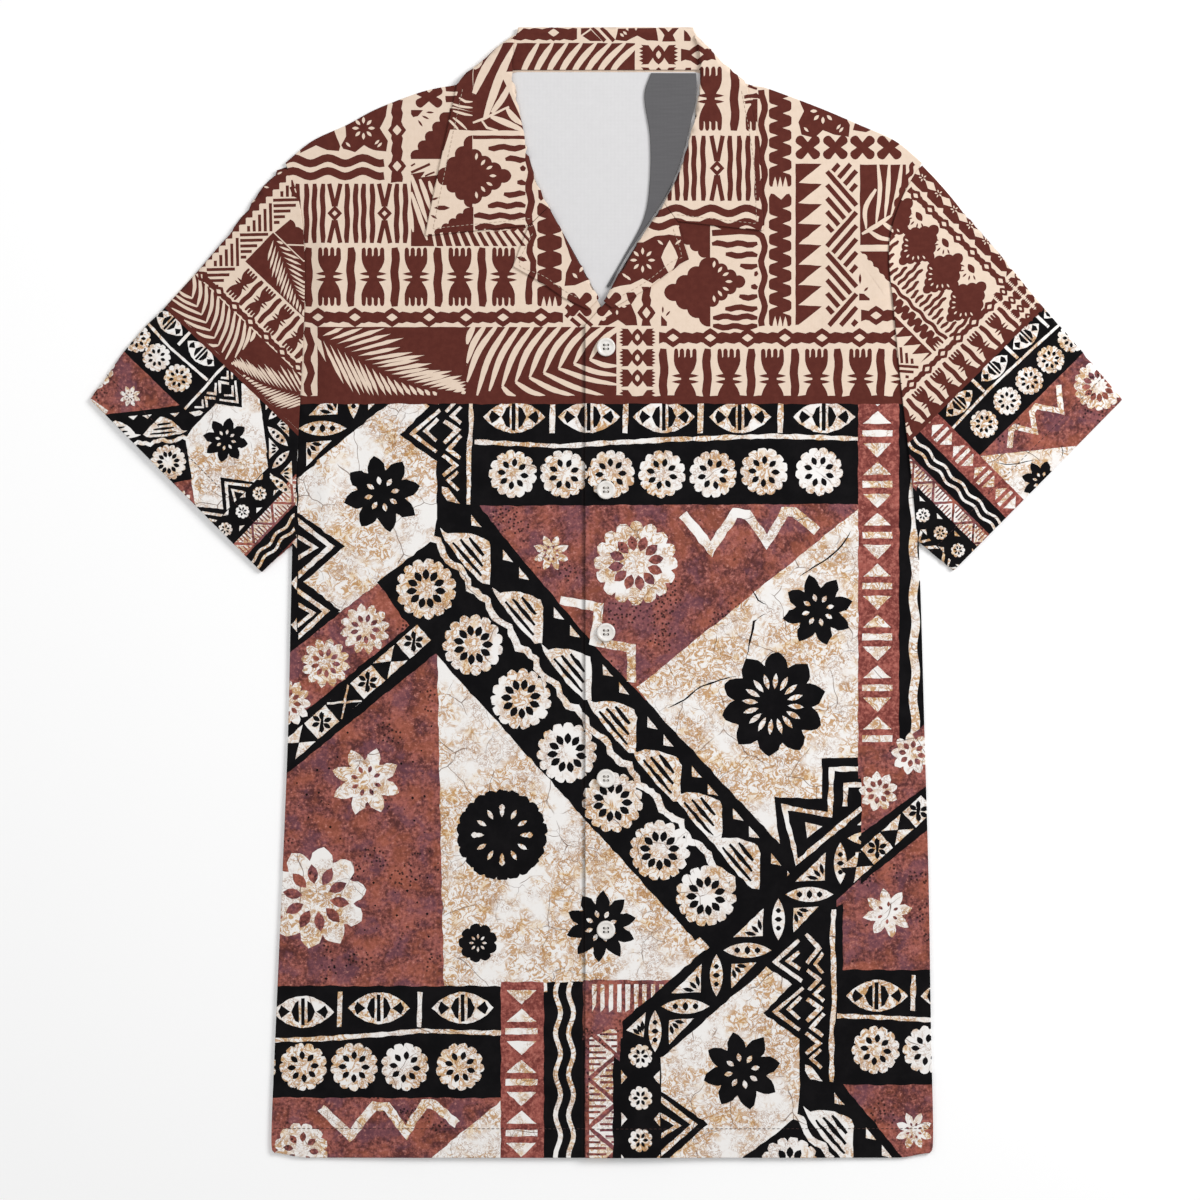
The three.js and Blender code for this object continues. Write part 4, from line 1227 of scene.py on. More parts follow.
def sawtooth(ink, x0, x1, y0, y1, pitch):
    points, y = [(x0, y0)], y0
    while y < y1 - 2:
        points += [(x1, y), (x0 + 1.5, min(y + pitch * 0.94, y1))]
        y += pitch
    ink.poly(MAROON, [*points, (x0 - 1.5, y1), (x0 - 1.5, y0)], 0.4)


def clipped(a, b, low_x, low_y, high_x, high_y):
    """The stretch of a segment inside a box, or nothing."""
    t0, t1 = 0.0, 1.0
    dx, dy = b[0] - a[0], b[1] - a[1]
    for d, low, high, start in ((dx, low_x, high_x, a[0]), (dy, low_y, high_y, a[1])):
        if abs(d) < 1e-9:
            if not low <= start <= high:
                return None
            continue
        first, last = sorted(((low - start) / d, (high - start) / d))
        t0, t1 = max(t0, first), min(t1, last)
    if t1 <= t0:
        return None
    return [(a[0] + dx * t0, a[1] + dy * t0), (a[0] + dx * t1, a[1] + dy * t1)]


def woven_hatch(ink, x0, x1, y0, y1, start, pitch=13.4, wide=4.8):
    """Bars in threes and fives that hang from one side and then the other, ever shorter."""
    k, y = -2, start - pitch * 6.1
    while y < y1:
        edge, reach = (x0, x1 - x0) if k % 2 == 0 else (x1, x0 - x1)
        for i in range(5):
            part = 1 - 0.2 * i
            a = (edge, y + i * pitch)
            found = clipped(a, (edge + reach * part, a[1] + HATCH_RISE * part), x0, y0, x1, y1)
            if found and math.dist(*found) > 3:
                ink.line(MAROON, found, wide, 1.0, 0.25)
        k, y = k + 1, y + pitch * 3.05


PALM_STEM = [(320, 337), (351, 354), (373, 367), (400, 380), (430, 389), (466, 395)]
PALM_LEAVES = (20, ((60, 50), (36, 20)), ((60, 36), (20, 32)))  # pairs, left leaf, right leaf


def palm(ink, box, stem, pairs, left_leaf, right_leaf, wide):
    """A palm leaf on a solid block: leaflets from both sides of a stem, cut off by the block.

    A leaf is its length and its turn from the stem, at the foot and at the tip."""
    x0, y0, x1, y1 = box
    ink.box(MAROON, x0, y0, x1, y1, 0.4)
    curve = spline(stem, 2.0)
    for leaf, side in ((left_leaf, -1), (right_leaf, 1)):
        for k in range(pairs):
            t = (k + (0.5 if side > 0 else 0.1)) / pairs
            at = min(int(t * (len(curve) - 1)), len(curve) - 2)
            (x, y), (ux, uy) = curve[at], curve[at + 1] - curve[at]
            (long0, turn0), (long1, turn1) = leaf
            long, turn = long0 + (long1 - long0) * t, turn0 + (turn1 - turn0) * t
            long *= 0.86 + 0.24 * ((k * 7) % 5) / 4
            a = math.atan2(uy, ux) + side * math.radians(turn)
            c, s = math.cos(a), math.sin(a)
            part = clipped((x + 3 * c, y + 3 * s), (x + long * c, y + long * s), x0 + 1, y0 + 1,
                           x1 - 1, y1 - 1)
            if part and math.dist(*part) > 5:
                reach = math.dist(*part)
                blade = [(0, 0), (reach * 0.3, -0.5), (reach * 0.7, -0.68), (reach, 0),
                         (reach * 0.7, 0.6), (reach * 0.3, 0.5)]
                ink.poly(CREAM, turned([(u, v * wide) for u, v in blade], *part[0],
                                       math.degrees(a)), 0.3)


def strokes(ink, dye, lines, wide):
    """Curved brush strokes, thick in the middle and fine at the ends."""
    for points in lines:
        curve = spline(points, 4.0)
        if len(curve) < 3:
            continue
        side = outward(curve, 1)
        t = np.linspace(0, 1, len(curve))
        half = wide / 2 * np.sin(math.pi * np.clip(t * 0.86 + 0.1, 0, 1)) ** 0.6
        left, right = curve + side * half[:, None], curve - side * half[:, None]
        ink.poly(dye, [tuple(p) for p in np.vstack([left, right[::-1]])], 0.2)


def cross(ink, x, y, half_wide=10.3, half_high=9.7, wide=7.8):
    """Two crossed strokes with rounded ends, a little wider there."""
    reach = math.hypot(half_wide, half_high)
    end = [(reach + wide * (0.5 * math.cos(a) - 0.4), wide * 0.62 * math.sin(a))
           for a in np.linspace(math.pi / 2, -math.pi / 2, 7)]
    outline = [(0, wide * 0.44), *end, (0, -wide * 0.44), *[(-u, -v) for u, v in end]]
    for sign in (-1, 1):
        turn = math.degrees(math.atan2(sign * half_high, half_wide))
        ink.poly(MAROON, turned(outline, x, y, turn), 0.2)


def bow(ink, x, y, half=18.2, high=8.8, floor=1e9):
    """Two combed wings and an open seed between them."""
    for side in (-1, 1):
        comb = [(half * (1.0 if k % 2 else 0.8), high * (-0.8 + 0.2 * k)) for k in range(9)]
        wing = [(half * 0.9, -high), *comb, (half * 0.9, high), (half * 0.52, high * 0.96),
                (half * 0.3, high * 0.34), (half * 0.3, -high * 0.34), (half * 0.52, -high * 0.96)]
        ink.poly(MAROON, [(x + side * u, min(y + v, floor)) for u, v in wing], 0.0)
    if y + high < floor:
        ink.lens(MAROON, x, y, high, half * 0.33, 90, 8)
        ink.lens(CREAM, x, y, high * 0.42, half * 0.13, 90, 4)


# palm strokes at the side and back of the collar
COLLAR_PALM = [
    (Ink.poly, MAROON, [(474, 62), (500, 43), (635, 43), (635, 70), (500, 72), (527, 131),
        (472, 131)], 0.4),
    (strokes, CREAM, [[(474, 94), (482, 76), (492, 58), (502, 43)], [(485, 119), (493, 96),
        (502, 72), (516, 43)]], 8.4),
    (strokes, CREAM, [[(492, 113), (503, 98), (511, 82)], [(491, 117), (506, 123), (524, 131)],
        [(474, 69), (478, 65), (482, 60)], [(507, 109), (514, 118), (523, 125)]], 6.2),
    (Ink.line, CREAM, [(473, 123), (484, 119), (509, 107)], 2.8, 0.7, 0.2),
    (Ink.line, CREAM, [(482, 121), (487, 128), (498, 131)], 2.4, 0.7, 0.2),
    *[(strokes, CREAM, [[(x - 2, 76), (x + lean * 0.34, 60), (x + lean, 42)]], 6.2)
        for k in range(8) for x, lean in [(523 + 12.5 * k, 16 + 2 * k)]],
]

# chain, hatch, moth and bows along the fold at the back of the neck
BACK_NECK = [
    (chain, (508, 34), (577, 34), 11.5, ()),
    (Ink.poly, CREAM, [(500, 26), (526, 26), (510, 40), (500, 42)], 0.0),
    (link, 553.6, 32.6, 0, 11, 8.5),
    (Ink.poly, MAROON, [(581, 28), (589, 28), (602, 41), (590, 41), (581, 35)], 0.3),
    *[(Ink.line, MAROON, [(x, 27), (x + 13, 41)], 4.4, 0.9, 0.2) for x in (592, 601)],
    (Ink.line, CREAM, [(581, 36), (591, 29)], 1.8, 0.9, 0.0),
    (Ink.poly, MAROON, [(615.5, 40), (618, 28.5), (656, 27.5), (658.4, 41), (647, 40.4),
        (637.3, 35.5), (626.4, 41)], 0.3),
    (seeds, [(622, 35, 40), (625, 33, 40), (636, 28, 90), (627, 28.5, 60)], 2.6),
    (Ink.poly, MAROON, [(658.5, 27.5), (665, 28), (668.5, 32), (672, 28), (679, 27.5), (673, 35),
        (676, 41.5), (662, 41.5), (664.5, 35)], 0.2),
    (Ink.poly, MAROON, [(684, 30), (687, 32), (691, 38), (690.5, 41), (684, 41)], 0.2),
    (bow, 658.6, 54.5, 19.5, 9.8),
    (bow, 658.6, 76, 19.5, 9.0),
    (chain, (681, 54.8), (716, 54.8), 11, ()),
    (link, 697.5, 54.8, 0, 13, 10.4, (6, 4)),
    (Ink.poly, MAROON, [(684, 71), (686, 67.5), (691, 67.5), (691, 72)], 0.2),
]


LONG_LEAF = (467, 327, 616.5, 396.5)  # left, top, right, bottom of its block
LONG_LEAF_HEAD, LONG_LEAF_FAR = 474, 515.6  # x of the first stroke's head, and of the first end


def long_leaf(ink):
    """The block of nested curved strokes by the top button."""
    x0, y0, x1, y1 = LONG_LEAF
    ink.box(MAROON, x0, y0, x1, y1, 0.3)
    upper, lower = [], []
    for k in range(12):
        # a stroke leaning from the block's top edge down to its foot, and one along from there
        head = LONG_LEAF_HEAD + 10.6 * k + 0.25 * k * k
        lean, foot_y = (31, y1 - 1 - 4.5 * (k - 3)) if k > 2 else (head - x0, y0 + 17 + 19 * k)
        foot = (head - lean, foot_y)
        top = y0 - 1
        upper.append([(head, top), (head - lean * 0.62, top + (foot_y - top) * 0.46), foot])
        if k > 4:
            far = (LONG_LEAF_FAR + 29.5 * (k - 5), y1 - 0.5) if k < 9 else (
                x1 + 1.5, y1 - 11.5 - 9.5 * (k - 9))
            lower.append([foot, ((foot[0] + far[0]) / 2, (foot[1] + far[1]) / 2 + 2.4), far])
    strokes(ink, CREAM, upper, 6.2)
    strokes(ink, CREAM, lower, 5.2)
    ink.box(CREAM, x1, y0 - 1, x1 + 2.5, y1, 0.0)


# the yoke on the wearer's right, from the armhole in: moth and waves
RIGHT_MOTH = [
    (Ink.poly, MAROON, [(300, 153), (316, 145), (327, 150), (339, 151), (340, 146), (337, 138),
        (334, 130), (300, 136)], 0.3),
    (Ink.poly, MAROON, [(345, 125), (346, 136), (341, 145), (343, 148.5), (355, 152), (364, 145),
        (373, 150), (386, 151.5), (388, 141), (380, 128), (386, 116), (388, 100), (345, 112)],
        0.3),
    (Ink.rays, CREAM, 363.4, 128, 4.5, 11.5, 8, 1.6),
    (seeds, [(348, 144.4, 45), (377, 142, -45), (379.6, 144.8, -45)]),
    *[(Ink.wave, MAROON, (284, y), (384, y), 7.8, 35, -2.8) for y in (160.5, 173.5)],
]

# chain, cross, scallops and lattice at the shoulder
RIGHT_SHOULDER = [
    (chain, (397, 100), (397, 181), 10.4, ()),
    *[(link, 397, y, 90, 10, 9.2, (5.2, 4.4)) for y in (130, 166)],
    (Ink.line, MAROON, [(391, 180), (403, 180)], 5),
    (cross, 429, 97, 12, 8, 7.6),
    (Ink.poly, MAROON, [(445, 86), (462, 84), (462, 92), (446, 91.5)], 0.4),
    (Ink.poly, MAROON, [(445, 96), (460, 96), (460, 102), (446, 102.5)], 0.4),
    (Ink.poly, MAROON, [(411, 110), (423, 110), (418, 116), (413, 117), (411, 114)], 0.2),
    (seeds, [(430, 112.4, 3), (425.5, 117.4, 25), (420.3, 123.3, 55)], 4.2, 1.1, MAROON),
    (Ink.poly, MAROON, [*scallops((411, 159), (447, 112), 5, 3.8), (456, 112), (441, 159)], 0.0),
    (lattice, (297.5, 306.3, 314.3, 322.7, 347, 355.7, 363.6, 372.3, 396.7, 405.3), (334.7, 384.5),
        183.5, 243),
]

# collar: solid ground with palm strokes
RIGHT_COLLAR = [
    (Ink.poly, MAROON, [(447, 78), (473, 62), (473, 112), (452, 107), (459, 90)], 0.5),
    (Ink.poly, MAROON, [(450, 108), (473, 112), (473, 131), (448, 130)], 0.5),
    (strokes, CREAM, [[(452, 104), (462, 107), (473, 108)], [(453, 111), (463, 114), (473, 116)],
        [(449, 120), (455, 126), (459, 131)], [(453, 118), (461, 124), (467, 130)], [(459, 98),
        (466, 102), (473, 102)]], 2.6),
    (draw, COLLAR_PALM + BACK_NECK),
]

# scalloped star, dashes and seeds
RIGHT_STAR = [
    (scalloped_star, 472.5, 135.6, 207.5, (437.5, 178), (511.5, 176)),
    (Ink.box, CREAM, 473, 131, 525, 136, 0.0),
    (Ink.box, MAROON, 473, 135.8, 525, 139.4, 0.4),
    (dashes, 474, 525.5, ((148, 0.28), (159.5, 0.61), (169.5, 0.9), (183.3, 0.84), (194.3, 0.58),
        (205.5, 0.27), (216.3, 0.0), (227, 0.02))),
    (Ink.poly, MAROON, [*scallops((434, 234), (470, 208.5), 5, 2.6), (473.5, 207), (473.5, 234)],
        0.0),
    (seeds, [(442, 208, 0)], 8.2, 2.6, MAROON),
    (seeds, [(435, 199, -20), (434, 217, 30)], 4.0, 1.2, MAROON),
]

# leaf strokes and the combed strip under them
RIGHT_LEAF = [
    (Ink.poly, MAROON, [(411, 174), (425, 171.5), (421, 177), (438, 175), (434, 188), (431, 205),
        (428, 220), (425, 236), (431, 235), (431, 246), (411, 246)], 0.3),
    (strokes, CREAM, [[(411, 175), (417, 192), (427, 222)], [(420, 179), (425, 193), (431, 211)],
        [(411, 192), (418, 212), (427, 240)]], 5.0),
    (strokes, CREAM, [[(429, 181), (431, 188), (434, 196)], [(410, 204), (411, 216), (413, 232)]],
        4.0),
    *[(Ink.line, MAROON, [a, b], wide, 0.7, 0.2) for a, b, wide in (((411, 166), (415, 163.5),
        2.4), ((411, 172.5), (430, 164), 3.8), ((425, 176), (434.5, 172), 2.6))],
    (Ink.poly, MAROON, [(428, 234), (470, 232.5), (530, 229), (534, 246), (428, 246)], 0.3),
    *[(Ink.line, CREAM, [(x, 233 - 0.3 * k), (x + 2.6 + 1.1 * k, 247)], 2.6 + 0.16 * k, 1.0, 0.2)
        for k in range(12) for x in [433 + 8.3 * k]],
]

# bars and caterpillar on the lapel
RIGHT_LAPEL = [
    (wavy_bar, 530, 148, 226, 7.0, 1.6),
    (Ink.line, MAROON, [(530.5, 226), (533.5, 236), (530, 246), (529.5, 253), (533, 262),
        (533, 272), (529, 281), (529, 304)], 7.0),
    (Ink.poly, MAROON, [(538, 190), (541, 190), (543.5, 199), (541, 201), (538.5, 198)], 0.2),
    (caterpillar, 537.2, 561.8, 203, 306, 218.6, 234.4, 16.5),
    (seeds, [(522, 259, 20)], 5.5, 2.4, MAROON),
]

# forks, chain and the leaves over the squares
RIGHT_FORKS = [
    *[(fork, x, 247.5, 306) for x in (329.5, 373, 416, 460, 503.5)],
    *[(wavy_bar, x, 247.5, 306.5, 8.2, 0.8) for x in (308, 351, 395, 438, 482)],
    (chain, (301, 317.3), (563, 317.3), 10.4, (17, 54, 91, 128, 165, 202, 240)),
    (wavy_bar, 309, 327, 396, 7.2, 2.2),
    (palm, (317.5, 327, 467, 396.5), PALM_STEM, *PALM_LEAVES, {"wide": 3.1}),
    (Ink.poly, CREAM, [(316, 336), (321, 341), (326, 362), (318, 349)], 0.2),
    (long_leaf,),
]


def yoke_left(ink):
    """The yoke on the wearer's right: everything left of the neck."""
    for rows in (RIGHT_MOTH, RIGHT_SHOULDER, RIGHT_COLLAR, RIGHT_STAR, RIGHT_LEAF, RIGHT_LAPEL,
                 RIGHT_FORKS):
        draw(ink, rows)


# the yoke on the wearer's left, from the collar out: forks, lattice and waves
LEFT_SHOULDER = [
    (fork, 710.5, 67, 131),
    (wavy_bar, 734.5, 68, 131, 8.6, 0.8),
    (fork, 757, 67, 131, {"part": 1}),
    (Ink.box, CREAM, 757.5, 60, 772, 131, 0.0),
    *[(Ink.line, MAROON, points, 4.0, 0.6, 0.0) for points in ([(744, 98), (756, 95), (760, 98)],
        [(745, 103), (756, 102)], [(748, 86), (757, 89)])],
    (lattice, (669, 677, 686, 694, 703, 730, 739, 748, 757), (717,), 136, 201),
    *[(Ink.wave, MAROON, (650, y), (762, y), 7.4, 35, 2.8) for y in (211, 224.5)],
]

# wavy bars and caterpillars
LEFT_CATERPILLARS = [
    (Ink.line, MAROON, [(763 + 1.9 * math.sin(y * 0.19), y) for y in range(90, 226, 5)], 6.4, 1.0,
        0.0),
    (Ink.line, MAROON, [(712, 233), (740, 231), (756, 232), *[(763 + 1.9 * math.sin(y * 0.21), y)
        for y in range(236, 328, 5)]], 6.2, 1.0, 0.0),
    (caterpillar, 769, 791.5, 88, 186.5, 106, 98.5, 14.7, {"top": False}),
    (caterpillar, 769, 791.5, 193.5, 326, 217, 208.5, 14.9),
]

# moth, crosses, sawteeth and hatch
LEFT_MOTH = [
    (moth, 823, 111, 1.12, 0),
    (Ink.poly, MAROON, [(852, 108), (856, 120), (853, 130), (866, 132), (880, 126), (864, 108)],
        0.3),
    *[(cross, x, 147.3) for x in (807.8, 835.4, 862.6, 889.4)],
    (sawtooth, 797, 822, 163.5, 325, 20.4),
    (woven_hatch, 827, 856.5, 164, 325.5, 171.3),
]

# leaf and scallops beside the armhole
LEFT_ARMHOLE = [
    (Ink.box, MAROON, 860, 164.5, 906, 245, 0.3),
    (strokes, CREAM, [[(878, 163), (880, 190), (876, 224)], [(889.5, 163), (888, 190), (885, 218)],
        [(902, 163), (898, 190), (891, 216)]], 4.4),
    (strokes, CREAM, [[(876, 189), (865.5, 208), (866, 229)], [(862, 234), (876, 226), (892, 215)],
        [(869, 231), (880, 238), (893, 240)], [(882, 222), (890, 228), (900, 231)]], 4.6),
    (Ink.poly, MAROON, [(860, 251.5), *scallops((861, 254), (896, 294), 6, 3.0)[::-1], (906, 300),
        (906, 251.5)], 0.0),
    (Ink.poly, CREAM, [(858, 258), (888, 300), (858, 300)], 0.0),
    (Ink.poly, MAROON, [(859, 293.5), (864, 294), (869.5, 298.5), (869.5, 300.5), (859, 300.5)],
        0.2),
    (seeds, [(860, 279, 90)], 5.6, 1.4, MAROON),
    (seeds, [(866, 289.4, -45)], 3.0, 1.2, MAROON),
    (chain, (861, 315.5), (905, 315.5), 10.4, (15,)),
]

# lapel, the ground between it and the star, and dashes
LEFT_LAPEL = [
    (Ink.poly, MAROON, [(612, 240), (642.8, 242.7), (655, 236.5), (669, 234.6), (681.3, 236.5),
        (685, 247), (689.2, 259.3), (679.5, 264), (673.4, 270), (666.4, 273.3), (652.4, 283.8),
        (642.8, 278.6), (630.5, 284.7), (620, 286.4), (596, 292)], 0.3),
    (link, 669.6, 257.6, 90, 0.1, 0.1, (17.4, 8.4)),
    (Ink.rays, CREAM, 642.6, 260.4, 5.4, 12.6, 8, 1.5),
    (seeds, [(660.3, 242.7, 40), (678.1, 242.4, -40), (625, 276, 40), (628, 278, 40)], 3.8),
    (Ink.poly, MAROON, [(677, 220.8), (710.2, 222), (710.2, 258), *scallops((706, 257.5),
        (681.3, 238.3), 3, 2.6)], 0.0),
    (scalloped_star, 710.4, 257.5, 326.5, (664, 292.6), (745.5, 281.4)),
    (dashes, 712, 757.5, ((243.9, 0.0), (254.9, 0.3), (265.8, 0.62), (274.2, 0.93), (287.3, 0.86),
        (296.9, 0.6), (308, 0.29), (317, 0.02), (326.7, 0.02))),
]

# motifs round the first button
FIRST_BUTTON = [
    (Ink.poly, MAROON, [(562, 232), (571.5, 260.5), (566, 273), (564.5, 285.8), (575, 285.4),
        (590, 279), (590, 232)], 0.3),
    (seeds, [(575, 275.7, 45), (581.4, 269.3, -60)], 3.6, 1.6),
    (cross, 579.5, 304.5),
    (cross, 609, 304.5),
    (Ink.poly, MAROON, [(626, 293), (634, 292.5), (637, 296), (631, 305), (628, 300)], 0.2),
    (Ink.poly, MAROON, [(598, 325.5), (600, 321), (612, 314), (622, 306), (631, 304), (636, 316),
        (637.5, 325.5), (626, 325.5), (618, 320), (608, 325.5)], 0.2),
    (seeds, [(604, 319.5, -30), (617, 312.5, 90), (624, 306.5, 0)], 2.6),
    (chain, (646.4, 287), (646.4, 326), 8.4, ()),
    (link, 646.4, 312.8, 90, 11, 9.2, (5.6, 4.0)),
    (Ink.poly, MAROON, [(661, 315.5), (667, 322), (667, 326), (661, 326)], 0.2),
    (seeds, [(662.8, 309.8, 90), (668, 313.5, -50)], 3.6, 1.0, MAROON),
    *[(Ink.line, MAROON, [a, b], 4.4, 0.9, 0.2) for a, b in (((566, 317), (575, 307)),
        ((571, 318.5), (580, 326)), ((578, 313.5), (592, 326)), ((566, 309), (569, 305.5)))],
]

# bows, chain and forks over the squares
LEFT_FORKS = [
    *[(bow, 637.4, 337.4 + 20.4 * k, {"floor": 400}) for k in range(4)],
    (chain, (659, 337.8), (906, 337.8), 10.4, (14, 51.3, 88.6, 126, 163, 200.5, 237.5)),
    *[(fork, x, 348.7, 409, {"floor": 400}) for x in (685.3, 728.9, 772.5, 816.5, 860.5, 904)],
    *[(wavy_bar, x, 348.7, 398, 8.4, 0.8) for x in (663.6, 707, 750.8, 794.5, 838, 881)],
]


def yoke_right(ink):
    """The yoke on the wearer's left: everything right of the neck."""
    for rows in (LEFT_SHOULDER, LEFT_CATERPILLARS, LEFT_MOTH, LEFT_ARMHOLE, LEFT_LAPEL,
                 FIRST_BUTTON, LEFT_FORKS):
        draw(ink, rows)


YOKE_LEFT, YOKE_RIGHT, YOKE_LINE = 255, 960, 395.8  # its sides, and its dark lower edge


def yoke(ink):
    """The whole yoke of the body."""
    ink.box(CREAM, YOKE_LEFT, 0, YOKE_RIGHT, YOKE_END)
    yoke_left(ink)
    yoke_right(ink)
    for k in range(3):  # wavy strokes beside the armhole
        ink.wave(MAROON, (914 + 10 * k, 163 + 4 * k), (896 + 6 * k, 206 + 9 * k), 4.4, 13, 1.3)
    ink.box(MAROON, YOKE_LEFT, YOKE_LINE, YOKE_RIGHT, YOKE_END)


# ------------------------------------------------ the same print on the sleeves, smaller


def fork_row(ink, forks, bars, y0, y1, bar_end=None, floor=1e9):
    for x in forks:
        fork(ink, x, y0, y1, floor=floor)
    for x in bars:
        wavy_bar(ink, x, y0, bar_end or y1, 8.2, 0.8)


SLEEVE_YOKE = (80, 1120)  # from and to which x the yoke reaches on a sleeve
LEFT_SLEEVE_COLUMNS = [
    (Ink.box, BLACK, 181, 396, 340, 700),
    (triangle_column, 138, 181, 396, 700),
    (wavy_strip, 184, 219, 396, 700),
    (hatch_strip, 221, 256, 396, 700),
    (draw, LEFT_ZIGZAGS),
    (small_flower_column, 257, 298, 418, 700),
]


def sleeve_print(side):
    """The print of one sleeve, whose bands run across it, in layout points of the body."""
    ink = Ink()
    ink.rough = 0.6
    squares_top(ink)
    squares_middle(ink)
    if side > 0:
        ink.shift = REPEAT_ACROSS
        draw(ink, LEFT_SLEEVE_COLUMNS)
        ink.shift = (0.0, 0.0)
    left, right = SLEEVE_YOKE
    ink.box(CREAM, left, 0, right, YOKE_END)
    (yoke_of_left_sleeve if side > 0 else yoke_of_right_sleeve)(ink)
    ink.box(MAROON, left, 396.5, right, YOKE_END)
    return ink


# the yoke's part of the wearer's right sleeve
RIGHT_SLEEVE_YOKE = [
    (palm, (300, 327, 467, 396.5), PALM_STEM, *PALM_LEAVES, {"wide": 3.1}),
    (long_leaf,),
    (chain, (290, 320), (600, 320), 9, [14 + 37.3 * k for k in range(9)]),
    (fork_row, [327 + 43.7 * k for k in range(6)], [349 + 43.7 * k for k in range(5)], 256, 312),
    (palm, (400, 184, 568, 252), [(560, 190), (520, 206), (470, 230), (404, 252)], 17, ((46, 40),
        (40, 30)), ((40, 46), (34, 30)), {"wide": 3.2}),
    (Ink.poly, MAROON, [(470, 182), *scallops((470, 150), (566, 150), 5, 4.0), (566, 182)], 0.0),
    (Ink.line, CREAM, [(500, 150), (536, 182)], 2.4, 1.0, 0.0),
    (woven_hatch, 572, 606, 90, 326, 110, 13.4, 5.2),
    (Ink.box, MAROON, 618, 60, 650, 326, 0.0),
    *[row for k in range(16) for row in (
        (Ink.poly, MAROON, [(619, 66 + 16.5 * k), (611, 74 + 16.5 * k), (619, 82 + 16.5 * k)], 0.3),
        (Ink.lens, CREAM, 630, 70 + 33 * (k % 8), 5, 1.8, 30 + 40 * (k % 2), 3),
    )],
    (lattice, (356, 364, 372, 397, 405, 430, 440, 448), (384.5, 419), 120, 178),
    *[(Ink.wave, MAROON, (330, y), (600, y), 6.6, 31, 2.8) for y in (96, 109)],
]


def yoke_of_right_sleeve(ink):
    draw(ink, RIGHT_SLEEVE_YOKE)


# the yoke's part of the wearer's left sleeve: bows, chains, forks and half-suns
LEFT_SLEEVE_BANDS = [
    *[(bow, x, 336.5 + 20.3 * k) for k in range(4) for x in (637, 601)],
    (chain, (657, 337.5), (1060, 337.5), 9, [15 + 37.3 * k for k in range(11)]),
    (fork_row, [684.5 + 44 * k for k in range(9)], [663 + 43.8 * k for k in range(9)], 349, 408,
        398, 400),
    (chain, (627, 100), (627, 322), 10, [16 + 34 * k for k in range(7)]),
    (Ink.box, MAROON, 583, 60, 615, 322, 0.3),
    *[row for y in range(84, 320, 38) for row in (
        (Ink.poly, CREAM, [(597, y - 13), (604, y), (597, y + 13), (590, y)], 0.3),
        (Ink.rays, CREAM, 597, y + 19, 1.5, 7, 5, 1.2, 20),
        (Ink.poly, CREAM, [(616, y - 4), (609, y + 4), (616, y + 10)], 0.3),
    )],
]

# caterpillars, sawteeth, hatch and lattice beyond its stars
LEFT_SLEEVE_STRIPS = [
    (Ink.line, MAROON, [(763 + 1.7 * math.sin(y * 0.21), y) for y in range(90, 328, 5)], 6.2, 1.0,
        0.0),
    (caterpillar, 769, 791.5, 180, 326, 203, 195.5, 14.9),
    (caterpillar, 769, 791.5, 60, 174, 80, 87, 14.7),
    (sawtooth, 798, 822, 200, 325, 20.3),
    (woven_hatch, 827, 856.5, 220, 325, 171.3),
    (lattice, (870, 880, 900, 910, 930), (890, 920), 240, 325),
]


LEFT_SLEEVE_STARS = ((678, 116), (679, 179), (684, 242), (690, 304))
LEFT_SLEEVE_DASHES = (0.02, 0.4, 0.62, 0.62, 0.4, 0.02)  # where each starts, as part of the width
HALF_SUN_TURNS = (-66, -33, 0, 33, 66)


def yoke_of_left_sleeve(ink):
    draw(ink, LEFT_SLEEVE_BANDS)
    for x, y in LEFT_SLEEVE_STARS:
        scalloped_star(ink, x + 8, y - 38, y + 36, (x - 42, y), (x + 50, y))
        ink.lens(MAROON, 648, y - 34, 9.5, 5.4, 78, 8)
        for a in HALF_SUN_TURNS:
            c, s = math.cos(math.radians(a)), math.sin(math.radians(a))
            ink.lens(MAROON, 649 + 15 * c, y - 34 + 16 * s, 4.8, 1.5, a, 3)
        dashes(ink, x + 22, 756, [(y - 30 + 10.5 * j, start)
                                  for j, start in enumerate(LEFT_SLEEVE_DASHES)])
    draw(ink, LEFT_SLEEVE_STRIPS)


SLEEVE_SCALE = 0.59
SLEEVE_PRINT = {  # where a point of the layout comes on the sleeve, and its two directions
    -1: ((382.0, 494.0), (225.75, 440.0), (-0.72, -0.69), (-0.69, 0.72)),
    1: ((819.0, 474.0), (985.0, 425.0), (-0.707, 0.707), (0.707, 0.707)),
}


def on_sleeve(ink, side):
    (from_x, from_y), (x0, y0), (ax, ay), (bx, by) = SLEEVE_PRINT[side]
    out = []
    for dye, points in ink.shapes:
        placed = []
        for x, y in points:
            u, v = (x - from_x) * SLEEVE_SCALE, (y - from_y) * SLEEVE_SCALE
            px, py = x0 + u * ax + v * bx, y0 + u * ay + v * by
            placed.append(((px - MIDDLE_X) * POINT, (MIDDLE_Y - py) * POINT))
        out.append((dye, placed))
    return out
# ------------------------------------------------------------------ finishes


